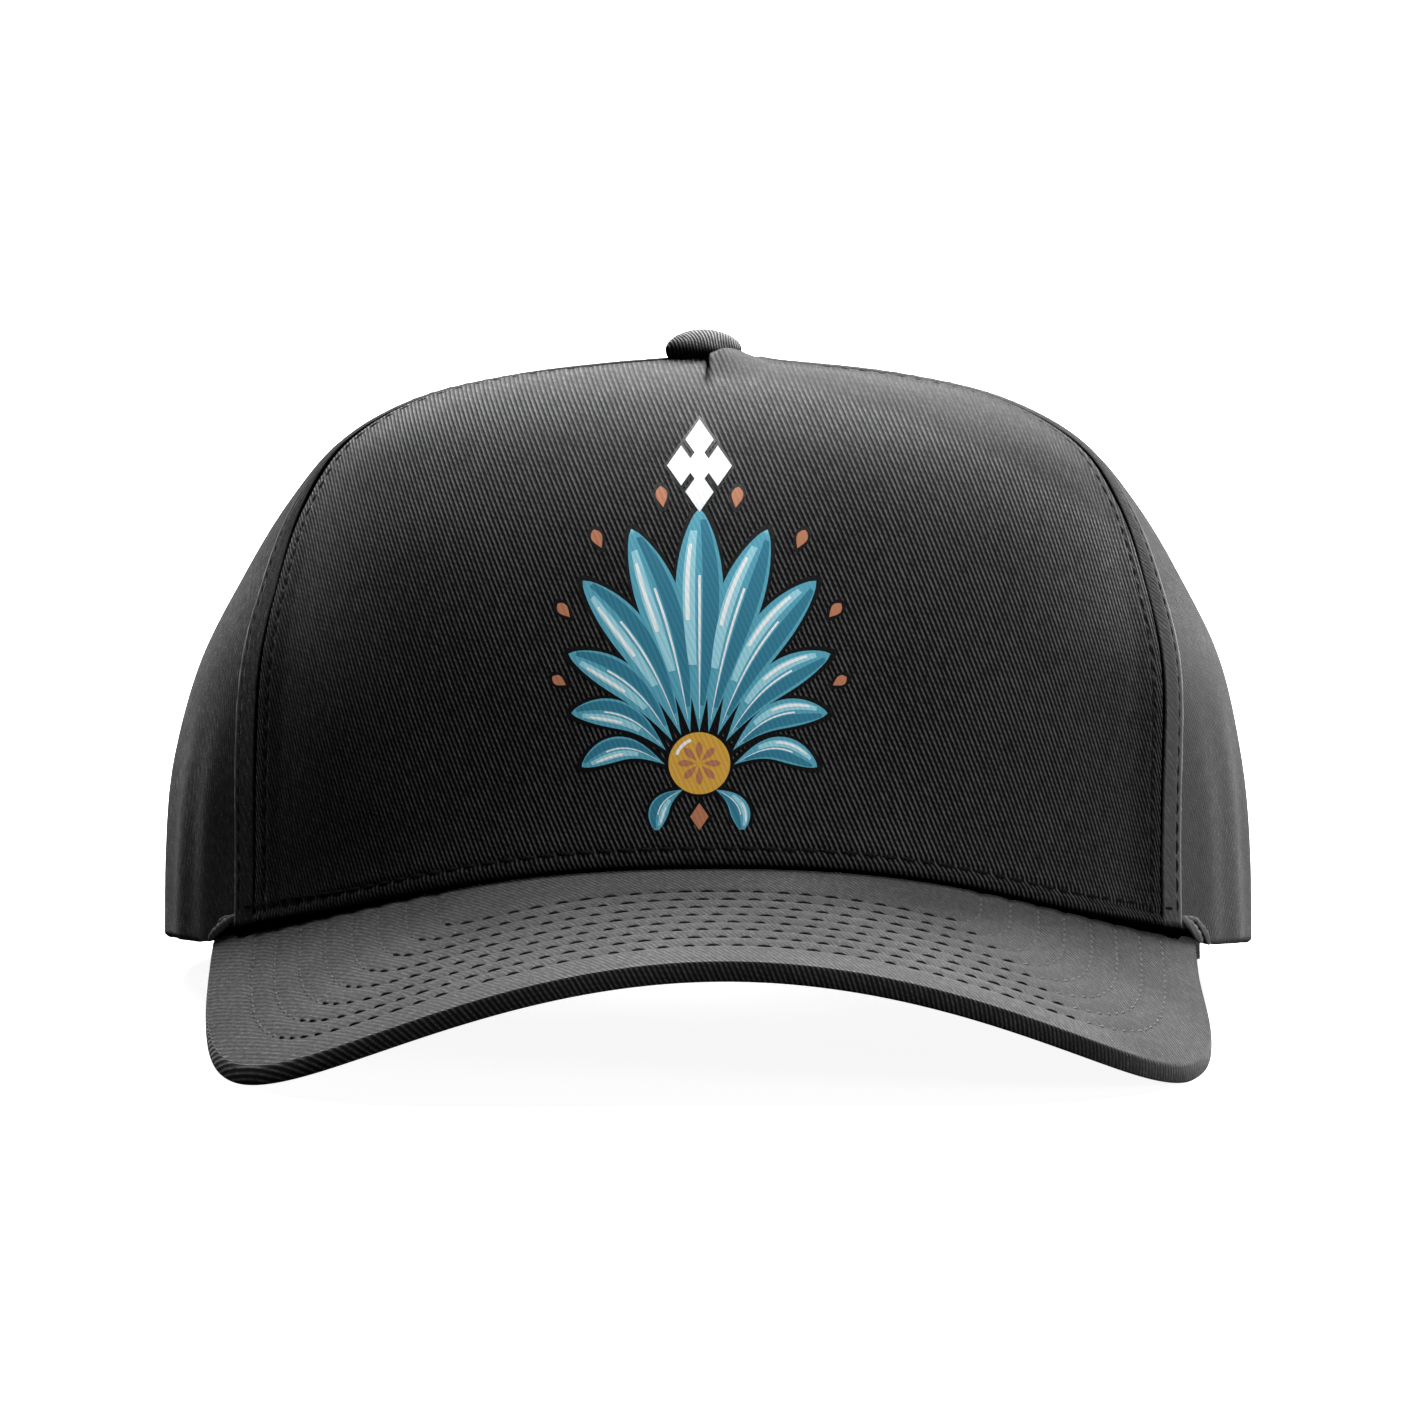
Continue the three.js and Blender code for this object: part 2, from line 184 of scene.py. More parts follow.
def dart_marks(points):
    """The painted shadow of the fold along the dart's left edge, and the worn, felted cloth at the top right
    of it.
    """
    x, y, z = np.moveaxis(points, -1, 0)
    reach = np.hypot(x, y)
    fold = 1.4 * bell(x, -0.05, 0.5) * smooth(reach, 4, 7) * (1 - smooth(reach, 37, 47)) * (y < 0)
    fold = np.minimum(fold, 1)
    felt = smooth(x, 0, 1) * smooth(z + 0.0053 * x * x, 94.0, 98.5)
    felt = np.maximum(felt, 0.4 * smooth(z, 90, 96))
    felt = np.maximum(felt, 0.4 * smooth(-x, 10, 60) * (1 - smooth(z, 50, 80))) * (y < 0)
    return fold, felt


def crown_lean(height):
    return LEAN * smooth(height, LEAN_FROM, LEAN_FULL) * (1 - smooth(height, LEAN_FADE, LEAN_END))


def crown(angle, s):
    """The crown's outer face at an angle in degrees from the front and a share s of the way up."""
    angle, s = np.broadcast_arrays(np.asarray(angle, float), np.asarray(s, float))
    turn = np.radians(angle)
    height = section(HEIGHT, s)
    folds = sum(depth * bell(np.abs(angle), at, half) for at, half, depth in FOLDS)
    out = folds * (1 - smooth(height, FOLD_HEIGHT / 3, FOLD_HEIGHT))
    reach = np.where(np.cos(turn) > 0, section(FRONT, s), section(BACK, s)) + out
    x = (section(HALF_WIDTH, s) + out) * power(np.sin(turn), 2 / SQUARENESS)
    y = -reach * power(np.cos(turn), 2 / SQUARENESS)
    return np.stack([x + crown_lean(height), y, height + dart_lift(x, y)], -1)


def outward(angle, s):
    """The outward direction of the crown there."""
    across = crown(angle + 0.25, s) - crown(angle - 0.25, s)
    up = crown(angle, s + 0.004) - crown(angle, np.maximum(s - 0.004, 0))
    return unit(np.cross(across, up))


ROOT_Y = -SECTIONS[0, FRONT] * math.cos(math.radians(BILL_END)) ** (2 / SQUARENESS)


def bill_curve(half_width, tip, squareness, share):
    """A curve in plan from one end of the bill (0) over its tip (0.5) to the other end (1)."""
    turn = math.pi * (np.asarray(share, float) - 0.5)
    sine, cosine = np.sin(turn), np.abs(np.cos(turn))
    size = (np.abs(sine) ** squareness + cosine**squareness) ** (-1 / squareness)
    return np.stack([half_width * sine * size, ROOT_Y - (tip + ROOT_Y) * cosine * size], -1)


def bill_top(x, y):
    """Height of the bill's top face."""
    forward = -y - SECTIONS[0, FRONT]
    root = -ROOT_Y - SECTIONS[0, FRONT]
    share = np.clip((forward - root) / (BILL_TIP - SECTIONS[0, FRONT] - root), 0, 1)
    bend = BILL_BEND_ROOT + (BILL_BEND_TIP - BILL_BEND_ROOT) * share
    droop = bend - np.sqrt(bend * bend - x * x)
    side = np.clip(x / BILL_HALF_WIDTH, -1, 1)
    lean = (BILL_LEAN_ROOT + (BILL_LEAN_TIP - BILL_LEAN_ROOT) * share) * side * (1 - side**4)
    flat = DIP_DEPTH * bell(x, 0, DIP_HALF_WIDTH) * (1 - smooth(forward, 0, DIP_LENGTH))
    return BILL_ROOT_HEIGHT - math.tan(BILL_SLOPE) * forward - droop + lean - flat


def table_at(y):
    return (y * math.sin(TILT) - TABLE_DROP) / math.cos(TILT)


def hem_height(angle, x, y, gap=0.25):
    """The hem lies on the bill in front, is a little clear at the sides and is flat on the table behind."""
    turn = np.abs(angle)
    behind = smooth(turn, BILL_END - 1, BILL_END - 1 + BILL_FADE)
    left, right = (np.interp(turn, SIDE_HEM[:, 0], SIDE_HEM[:, k]) for k in (1, 2))
    side = np.where(np.asarray(angle) < 0, left, right)
    on_bill = (1 - behind) * (bill_top(x, y) + gap) + behind * side
    return np.maximum(on_bill, table_at(y) + TABLE_GAP)


def hem_share(angle):
    foot = crown(angle, 0.0)
    return share_at(np.maximum(hem_height(angle, foot[..., 0], foot[..., 1]), 0))


def distances(points, line):
    """How far each point is from a line of dense points."""
    tree = KDTree(len(line))
    for k, p in enumerate(line):
        tree.insert(Vector(p), k)
    tree.balance()
    flat = points.reshape(-1, 3)
    return np.array([tree.find(Vector(p))[2] for p in flat]).reshape(points.shape[:-1])


def seam_line(angle_at, count=1600):
    s = np.linspace(0, CROWN_TOP, count)
    return crown(angle_at(s), s)


def noise(angle, s, seed):
    """Soft unevenness of handmade cloth, between -1 and 1."""
    rng = np.random.default_rng(seed)
    total = np.zeros(np.broadcast(angle, s).shape)
    for _ in range(10):
        fa, fs, phase = rng.uniform(0.03, 0.28), rng.uniform(2, 22), rng.uniform(0, 2 * math.pi)
        total += np.sin(angle * fa + s * fs * rng.choice([-1, 1]) + phase)
    return total / 6


def dense_ends(count, low=0.12, high=0.12, weight=0.78):
    """Places from 0 to 1 that lie closer together near the ends."""
    t = np.linspace(0, 1, 4001)
    speed = 1 - weight * (np.exp(-((t / low) ** 2)) + np.exp(-(((1 - t) / high) ** 2)))
    total = np.concatenate([[0], np.cumsum(1 / (speed[1:] + speed[:-1]))])
    return np.interp(np.linspace(0, total[-1], count), total, t)


def roll(distance, radius):
    """The rounded fold of cloth at an edge."""
    inside = np.clip(radius - distance, 0, radius)
    return np.sqrt(np.maximum(radius * radius - inside * inside, 0)) - radius


# Half widths of the gap between two panels and of the painted shade in the grooves beside it.
GAP = 0.2
CREASE, PLAIN_CREASE = 0.48, 0.3

# Where the rows of stitches run, in mm from the seam or the hem, and how wide the welt is.
FRONT_ROW, WELT_ROW, PLAIN_ROW, ARCH_ROW, HEM_ROW = 3.5, 3.9, 2.2, 3.2, 3.5
WELT_WIDTH = 5.1


# Cross-sections of the seams: how far the cloth stands out at a distance in mm from the seam.
def front_side(t):
    swell = 0.35 * (1 - smooth(t, 4.0, 8.0))
    return roll(t, 1.1) + swell - 0.3 * bell(t, FRONT_ROW, 0.45)


def welt_side(t):
    ramp = 0.1 + 1.0 * smooth(t, 0.5, 3.2)
    return roll(t, 1.0) + ramp * (1 - smooth(t, WELT_WIDTH, 5.9)) - 0.3 * bell(t, WELT_ROW, 0.35)


def welt_highlight(t):
    """The painted highlight along the far edge of the welt."""
    return bell(t, WELT_WIDTH, 0.45)


def plain_side(t):
    swell = 0.3 * (1 - smooth(t, 3.0, 5.5))
    return roll(t, 0.9) + swell - 0.22 * bell(t, PLAIN_ROW, 0.45)


def hem_front(t):
    puff = 0.5 * bell(t, 1.9, 1.3)
    return roll(t, 1.1) + puff + 0.15 * (1 - smooth(t, 4, 9)) - 0.36 * bell(t, HEM_ROW, 0.5)


def hem_plain(t):
    return roll(t, 0.9)


def hem_arch(t):
    return roll(t, 0.9) + 0.2 * (1 - smooth(t, 5, 7)) - 0.22 * bell(t, ARCH_ROW, 0.45)


def mesh_object(name, vertices, faces, uv=None, smooth_angle=50, painted_shading=None, felt=None):
    mesh = bpy.data.meshes.new(name)
    mesh.from_pydata([tuple(v) for v in vertices], [], [tuple(f) for f in faces])
    mesh.update()
    if uv is not None:
        layer = mesh.uv_layers.new(name="cloth")
        corners = np.empty(len(mesh.loops), dtype=np.int64)
        mesh.loops.foreach_get("vertex_index", corners)
        layer.data.foreach_set("uv", np.asarray(uv, float)[corners].ravel())
    # This mark holds painted shade where it is positive and a painted highlight where it is negative.
    for key, values in (("painted_shading", painted_shading), ("felt", felt)):
        if values is not None:
            marks = mesh.attributes.new(key, "FLOAT", "POINT")
            marks.data.foreach_set("value", np.asarray(values, float).ravel())
    mesh.polygons.foreach_set("use_smooth", [True] * len(mesh.polygons))
    mesh.set_sharp_from_angle(angle=math.radians(smooth_angle))
    obj = bpy.data.objects.new(name, mesh)
    bpy.context.scene.collection.objects.link(obj)
    return obj


def grid_faces(rows, columns, start=0, flip=False):
    i, k = np.meshgrid(np.arange(rows - 1), np.arange(columns - 1), indexing="ij")
    a = (start + i * columns + k).ravel()
    quads = np.stack([a, a + 1, a + columns + 1, a + columns], -1)
    return quads[:, ::-1] if flip else quads


def rim_faces(rows, columns, other):
    """The strip that joins the edges of two grids, the second one starting at vertex other."""
    top = np.arange(columns)
    ring = np.concatenate([
        top,
        np.arange(1, rows) * columns + columns - 1,
        ((rows - 1) * columns + top[::-1])[1:],
        (np.arange(rows - 2, 0, -1)) * columns,
    ])
    after = np.roll(ring, -1)
    return np.stack([after, ring, ring + other, after + other], -1)


def wall_faces(rows, columns):
    """The faces of a closed wall between two grids of points, outer and inner."""
    count = rows * columns
    return np.concatenate([
        grid_faces(rows, columns),
        grid_faces(rows, columns, count, flip=True),
        rim_faces(rows, columns, count),
    ])


def shell(name, outer, inner, uv, painted_shading=None, felt=None):
    """A closed cloth wall from two grids of points (rows, columns, 3) in mm of the upright cap."""
    vertices = place(np.concatenate([outer.reshape(-1, 3), inner.reshape(-1, 3)]))
    flat = uv.reshape(-1, 2) * MM
    both = [None if marks is None else np.tile(marks.ravel(), 2) for marks in (painted_shading, felt)]
    return mesh_object(name, vertices, wall_faces(*outer.shape[:2]), np.concatenate([flat, flat]), 50, *both)


def join_walls(name, walls, uv=None):
    """Several closed walls as one mesh, from pairs of grids that run the other way round than a panel's."""
    vertices, faces, start = [], [], 0
    for front, back in walls:
        vertices += [front.reshape(-1, 3), back.reshape(-1, 3)]
        faces.append(wall_faces(*front.shape[:2])[:, ::-1] + start)
        start += 2 * front.shape[0] * front.shape[1]
    points = np.concatenate(vertices)
    uv = points[:, [0, 2]] if uv is None else uv
    return mesh_object(name, place(points), np.concatenate(faces), uv * MM)


def tube_faces(rings, sides, flip=False):
    """The faces of a closed tube of rings of points, with its two end points after them."""
    pairs = [(k, (k + 1) % sides) for k in range(sides)]
    if flip:
        pairs = [(n, k) for k, n in pairs]
    faces = []
    for here in range(0, (rings - 1) * sides, sides):
        above = here + sides
        faces += [(here + n, here + k, above + k, above + n) for k, n in pairs]
    last = (rings - 1) * sides
    for k, n in pairs:
        faces += [(rings * sides, k, n), (rings * sides + 1, last + n, last + k)]
    return faces


def cloth_uv(points, middle):
    """Distances in mm along the rows from a middle column and up the columns."""
    steps = np.linalg.norm(np.diff(points, axis=1), axis=-1)
    u = np.concatenate([np.zeros((len(points), 1)), np.cumsum(steps, axis=1)], axis=1)
    u -= u[:, middle : middle + 1]
    rise = np.linalg.norm(np.diff(points[:, middle], axis=0), axis=-1)
    v = np.concatenate([[0], np.cumsum(rise)])
    return np.stack([u, np.broadcast_to(v[:, None], u.shape)], -1)


def front_uv(points):
    """The front's cloth hangs straight, so its grain keeps one direction from side to side."""
    around = crown(np.linspace(-65, 65, 800), share_at(45.0))
    across = np.concatenate([[0], np.cumsum(np.linalg.norm(np.diff(around, axis=0), axis=-1))])
    across -= np.interp(0, around[:, 0], across)
    u = np.interp(points[..., 0], around[:, 0], across)
    return np.stack([u, points[..., 2]], -1)


def flattening(points):
    """The seams lie flatter over the shoulders, the left one more than the right."""
    lower = 0.6 - 0.1 * np.clip(points[..., 0] / 20, -1, 1)
    return 1 - lower * smooth(points[..., 2], 55, 86)


# Painted shade and light on the cloth, from 1 for black to -1 for a pale painted highlight: shade behind,
# shade along the hem and a highlight along the welt.
SHADE_BEHIND, HEM_SHADE, RIDGE = 0.45, 0.25, 0.9


def side_shade(angle, low):
    """How much shade is painted into the cloth of the sides and the back: more on the left than the right and
    more high up, with a little painted light low on the right. The share low is 1 low down and 0 high up.
    """
    behind = smooth(np.abs(angle), 65, 125)
    beside = np.where(angle < 0, 0.5 - 0.4 * low, 0.34 - 0.55 * low)
    return beside * (1 - behind) + SHADE_BEHIND * behind


def finish_panel(name, node, angle, s, seams, hem_profile, hem_line, seed, wobble, trim=True, front=False):
    """A panel from grids of angles and shares, with its seams given as (line, profile)."""
    base = crown(angle, s)
    normal = outward(angle, s)
    lift = wobble * noise(angle, s, seed)
    nearest = np.full(base.shape[:2], 1e3)
    painted_highlight, painted_shading = np.zeros(base.shape[:2]), np.zeros(base.shape[:2])
    over = smooth(base[..., 2], 60, 85)
    flat = flattening(base)
    for line, profile in seams:
        away = distances(base, line)
        rise = profile(away)
        lift = lift + np.where(rise > 0, rise * flat, rise)
        nearest = np.minimum(nearest, away)
        # Painted shade in the groove beside each seam, wider beside the welt high up, and a painted highlight
        # along the welt's far edge.
        groove = CREASE if front else PLAIN_CREASE
        if profile is welt_side:
            groove = CREASE * (1 + over)
            painted_highlight = welt_highlight(away) * (1 - 0.7 * smooth(base[..., 2], 68, 88))
        painted_shading = np.maximum(painted_shading, 1 - smooth(away / groove, 1, 2.2))
    to_hem = distances(base, hem_line)
    lift += hem_profile(to_hem)
    outer = base + normal * lift[..., None]
    inner = base - normal * PANEL_THICK
    for face in (outer, inner):
        x, y, z = np.moveaxis(face[0], -1, 0)
        face[0, :, 2] = hem_height(angle[0], x, y) if trim else np.maximum(z, table_at(y) + TABLE_GAP)
    uv = front_uv(base) if front else cloth_uv(base, base.shape[1] // 2)
    # The shadow along the front's hem, which is taller at its ends.
    raised = smooth(np.abs(angle), 35, 52)
    under = (1 - smooth(to_hem, 0.7 + 0.8 * raised, 1.7 + 1.0 * raised)) * (np.abs(angle) < 62)
    fold, felt = dart_marks(base) if front else (0 * nearest, 0 * nearest)
    dark = np.maximum(np.maximum(painted_shading, under), fold)
    low = 1 - smooth(base[..., 2], 45, 85)
    # Painted shade: the front darkens along its hem and low down beside its seams, the other panels as a
    # whole.
    if front:
        dark = np.maximum(dark, HEM_SHADE * (1 - smooth(to_hem, 2.9, 3.7)))
        beside = np.where(base[..., 0] < 0, 0.15 + 0.35 * smooth(base[..., 2], 18, 40), 0.4)
        dark = np.maximum(dark, beside * (1 - smooth(nearest, 3, 14)) * low)
    else:
        dark = dark + (1 - dark) * side_shade(angle, low)
    obj = shell(name, outer, inner, uv, dark - RIDGE * painted_highlight * (1 - dark), felt)
    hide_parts(node)
    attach(obj, "root")
    return obj


def gap_angle(angle, s):
    """The angle that the half gap between two panels takes up."""
    width = np.linalg.norm(crown(angle + 0.5, s) - crown(angle - 0.5, s), axis=-1)
    return GAP / np.maximum(width, 0.05)


def front_seam(side):
    return lambda s: side * section(SEAM, s)


def back_seam(side):
    return lambda s: side * BACK_SEAM + 0 * s


def centre_seam(side):
    return lambda s: side * CENTRE_BACK + 0 * s


def panel_grid(from_seam, to_seam, columns, rows):
    across = dense_ends(columns)[None, :]
    foot = hem_share(from_seam(0.0) * (1 - across) + to_seam(0.0) * across)
    s = foot + (CROWN_TOP - foot) * dense_ends(rows, low=0.1, high=0.02, weight=0.6)[:, None]
    low, high = from_seam(s), to_seam(s)
    low, high = low + gap_angle(low, s), high - gap_angle(high, s)
    return low * (1 - across) + high * across, s


def foot_line(angle_from, angle_to, count=2000):
    angles = np.linspace(angle_from, angle_to, count)
    return crown(angles, hem_share(angles))


def arch_angle(x):
    return 180 - np.degrees(np.arcsin((x / SECTIONS[0, HALF_WIDTH]) ** (SQUARENESS / 2)))


def arch_line(side, count=900):
    turn = np.radians(np.linspace(0, 90, count))
    return crown(side * arch_angle(ARCH_HALF_WIDTH * np.cos(turn)), share_at(ARCH_HEIGHT * np.sin(turn)))


def back_grid(side, plain, arch, rows):
    start = arch_angle(ARCH_HALF_WIDTH)
    flat = BACK_SEAM + (start - BACK_SEAM) * dense_ends(plain, low=0.2, high=1e-3)
    turn = np.radians(np.linspace(0, 90, arch))[1:]
    curved = arch_angle(ARCH_HALF_WIDTH * np.cos(turn))
    feet = np.maximum(ARCH_HEIGHT * np.sin(turn), table_at(SECTIONS[0, BACK]))
    angle = np.concatenate([flat, curved])[None, :]
    foot = np.concatenate([hem_share(flat), share_at(feet)])[None, :]
    s = foot + (CROWN_TOP - foot) * dense_ends(rows, low=0.1, high=0.02, weight=0.6)[:, None]
    low = BACK_SEAM + gap_angle(BACK_SEAM, s)
    high = CENTRE_BACK - gap_angle(CENTRE_BACK, s)
    angle = np.clip(angle, low, high)
    if side < 0:
        return -angle[:, ::-1], s[:, ::-1]
    return angle, s


# Columns and rows of the panels' grids. The back's columns are those beside the arch and those over it.
FRONT_GRID, SIDE_GRID, BACK_GRID = (260, 170), (170, 134), (76, 76, 104)
FRONT_WOBBLE, SIDE_WOBBLE, BACK_WOBBLE = 0.1, 0.22, 0.2
FRONT_SEED, SIDE_SEED, BACK_SEED = 3, 11, 21


def build_crown():
    lines = {key: seam_line(front_seam(side)) for key, side in (("left", -1), ("right", 1))}
    angle, s = panel_grid(front_seam(-1), front_seam(1), *FRONT_GRID)
    seams = [(lines["left"], front_side), (lines["right"], front_side)]
    hem = foot_line(-56, 56)
    settings = seams, hem_front, hem, FRONT_SEED, FRONT_WOBBLE
    pieces = [finish_panel("front_cloth", "front_panel", angle, s, *settings, front=True)]
    centre = seam_line(centre_seam(1))
    for word, side in (("left", -1), ("right", 1)):
        front, back = front_seam(side), back_seam(side)
        rear = seam_line(back)
        order = (back, front) if side < 0 else (front, back)
        angle, s = panel_grid(*order, *SIDE_GRID)
        seams = [(lines[word], welt_side), (rear, plain_side)]
        hem = foot_line(side * 53, side * 118)
        settings = seams, hem_plain, hem, SIDE_SEED + side, SIDE_WOBBLE
        pieces.append(finish_panel(f"side_cloth_{word}", f"side_panel_{word}", angle, s, *settings))
        angle, s = back_grid(side, *BACK_GRID)
        seams = [(rear, plain_side), (centre, plain_side)]
        hem = np.concatenate([foot_line(side * 116, side * arch_angle(ARCH_HALF_WIDTH)), arch_line(side)])
        settings = seams, hem_arch, hem, BACK_SEED + side, BACK_WOBBLE, False
        pieces.append(finish_panel(f"back_cloth_{word}", f"back_panel_{word}", angle, s, *settings))
    return pieces


def row_points(row, count):
    plan = bill_curve(*row, np.linspace(0, 1, count))
    return np.column_stack([plan, bill_top(plan[:, 0], plan[:, 1])])


IN_PLAN = [1, 1, 0]
ROW_LINES = np.concatenate([row_points(row, 2400) * IN_PLAN for row in ROWS])
CHANNEL_WIDTH = 0.5


def channel(points, depth):
    """The hollows along the rows of stitches, and the cloth that swells between them."""
    away = distances(points * IN_PLAN, ROW_LINES)
    return 0.12 * smooth(away, 0.6, 2.2) - depth * bell(away, 0, CHANNEL_WIDTH)


# How much shade is painted on the bill's turned edge, and the columns and rows of its top face.
EDGE_SHADE = 0.82
BILL_GRID = 420, 120


def build_bill():
    columns, rows = BILL_GRID
    shares = np.linspace(0, 1, 6001)
    plan = bill_curve(BILL_HALF_WIDTH, BILL_TIP, BILL_SQUARENESS, shares)
    travelled = np.concatenate([[0], np.cumsum(np.linalg.norm(np.diff(plan, axis=0), axis=-1))])
    across = np.linspace(0, 1, columns)
    target = (0.006 + 0.988 * across) * travelled[-1]
    edge = np.stack([np.interp(target, travelled, plan[:, k]) for k in (0, 1)], -1)
    # The right edge runs in a little towards the hem and out at the corner.
    inward = 1.5 - 2.2 * smooth(-edge[:, 1], 68, 108)
    edge[:, 0] -= inward * smooth(edge[:, 0], 55, 80)
    angle = -BILL_END + 2 * BILL_END * across
    hem = crown(angle, 0.0)[:, :2]
    middle = np.array([0, (SECTIONS[0, BACK] - SECTIONS[0, FRONT]) / 2])
    root = hem + unit(middle - hem) * BILL_TUCK
    way = edge - root
    length = np.linalg.norm(way, axis=-1)
    way = unit(way)

    def ring(distance, drop):
        xy = root + way * distance[:, None]
        return np.column_stack([xy, bill_top(xy[:, 0], xy[:, 1]) - drop])

    steps = dense_ends(rows, low=1e-3, high=0.12, weight=0.5)
    top = np.stack([ring(t * (length - UPPER_RADIUS), 0.0) for t in steps])
    away = np.minimum((1 - steps)[:, None] * length, 30)
    top[..., 2] += channel(top, 0.16) * smooth(away, 0.5, 3)
    corner = [
        ring(length - UPPER_RADIUS * (1 - math.sin(a)), UPPER_RADIUS * (1 - math.cos(a)))
        for a in np.radians([22, 45, 68, 90])
    ]
    upright = BILL_THICK - UPPER_RADIUS - LOWER_RADIUS
    wall = [
        ring(length + 0.12 * math.sin(math.pi * t), UPPER_RADIUS + upright * t)
        for t in (0.25, 0.5, 0.75, 1.0)
    ]
    lower = [
        ring(length - LOWER_RADIUS * (1 - math.cos(a)), BILL_THICK - LOWER_RADIUS * (1 - math.sin(a)))
        for a in np.radians([18, 36, 54, 72, 90])
    ]
    steps_under = np.linspace(1, 0, rows // 2)[1:]
    under = np.stack([ring(t * (length - LOWER_RADIUS), BILL_THICK + 0 * length) for t in steps_under])
    under[..., 2] -= channel(under, 0.2)
    rings = np.concatenate([top, corner, wall, lower, under])
    count = len(rings)
    rim = slice(len(top), len(top) + len(corner) + len(wall) + len(lower))
    # The top cloth is turned down round the edge and goes on under it.
    arc = np.cumsum(np.linalg.norm(np.diff(rings, axis=0), axis=-1), axis=0)
    arc = np.concatenate([np.zeros((1, columns)), arc])
    edge_arc = arc[len(top):] - arc[len(top) - 1]
    turned = edge[None] + way[None] * edge_arc[..., None]
    uv = np.concatenate([top[..., :2], turned])
    vertices = place(rings.reshape(-1, 3))
    i = np.arange(count)
    last, first = i[-1] * columns + np.arange(columns), np.arange(columns)
    closing = np.stack([last[:-1], first[:-1], first[1:], last[1:]], -1)
    faces = list(np.concatenate([grid_faces(count, columns, flip=True), closing]))
    faces += [(i * columns)[::-1], i * columns + columns - 1]
    # Painted shade: the cloth is darker along the rows, towards its right and its ends and at the edge, where
    # its ribs show most.
    painted_shading = 0.06 * bell(distances(rings * IN_PLAN, ROW_LINES), 0, CHANNEL_WIDTH)
    painted_shading += 0.2 * smooth(rings[..., 0], -10, 70) + 0.13 * smooth(np.abs(rings[..., 0]), 50, 72)
    beside_corner = 0.3 * smooth(-edge[:, 0], 35, 75) + 0.6 * smooth(edge[:, 0], 60, 78)
    painted_shading[rim] = EDGE_SHADE - beside_corner
    ribbed = np.zeros(painted_shading.shape)
    ribbed[rim.start - 1 : rim.stop] = 3.6 * smooth(edge[:, 0], 45, 75) - 4.0
    obj = mesh_object("bill_cloth", vertices, faces, uv.reshape(-1, 2) * MM, 60, painted_shading, ribbed)
    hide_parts("bill")
    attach(obj, "root")
    return obj


def beside(angle_at, side, distance, s_from, s_to, count=500):
    """The line at a distance in mm from a seam, as angles and shares."""
    s = np.linspace(s_from, s_to, count)
    angle = angle_at(s) + 0 * s
    seam = crown(angle, s)
    along = unit(np.gradient(seam, axis=0))
    goal = seam + side * distance * unit(np.cross(along, outward(angle, s)))
    for _ in range(4):
        da = (crown(angle + 0.1, s) - crown(angle - 0.1, s)) / 0.2
        ds = (crown(angle, s + 0.001) - crown(angle, s - 0.001)) / 0.002
        miss = goal - crown(angle, s)
        aa, ss, cross = (da * da).sum(-1), (ds * ds).sum(-1), (da * ds).sum(-1)
        ma, ms = (miss * da).sum(-1), (miss * ds).sum(-1)
        scale = np.maximum(aa * ss - cross * cross, 1e-9)
        angle = angle + (ma * ss - ms * cross) / scale
        s = np.clip(s + (ms * aa - ma * cross) / scale, 0, 0.999)
    return angle, s


def surface_line(angle, s, lift, relief=0.0):
    """A line on the cloth, with its normals. The relief of the seam there flattens towards the top."""
    normal = outward(angle, s)
    points = crown(angle, s)
    height = lift + relief * flattening(points)
    return points + normal * np.broadcast_to(height, points.shape[:1])[:, None], normal


# Columns: distance from thread to thread, a thread's length and radius, material slot, sides, unevenness.
STITCHES = {
    "bill_stitches": (3.95, 2.6, 0.37, "bill_twill", 6, 0.2),
    "bill_stitches_under": (3.95, 2.5, 0.3, "bill_twill", 6, 0.12),
    "bill_stitches_beside": (3.35, 1.6, 0.3, "bill_twill", 6, 0.12),
    "front_hem_stitches": (3.3, 2.4, 0.34, "crown_twill", 6, 0.12),
    "seam_stitches": (3.2, 2.2, 0.26, "crown_twill", 6, 0.12),
    "front_stitches": (3.2, 2.2, 0.3, "crown_twill", 6, 0.12),
    "arch_stitches": (3.2, 2.3, 0.22, "crown_twill", 6, 0.12),
    "sweatband_stitches": (3.4, 2.4, 0.2, "sweatband_cloth", 6, 0.12),
    "strap_stitches": (3.2, 2.2, 0.2, "strap_webbing", 6, 0.12),
    "tape_stitches": (3.4, 2.3, 0.18, "sweatband_cloth", 5, 0.12),
}
THREAD_RINGS = 5


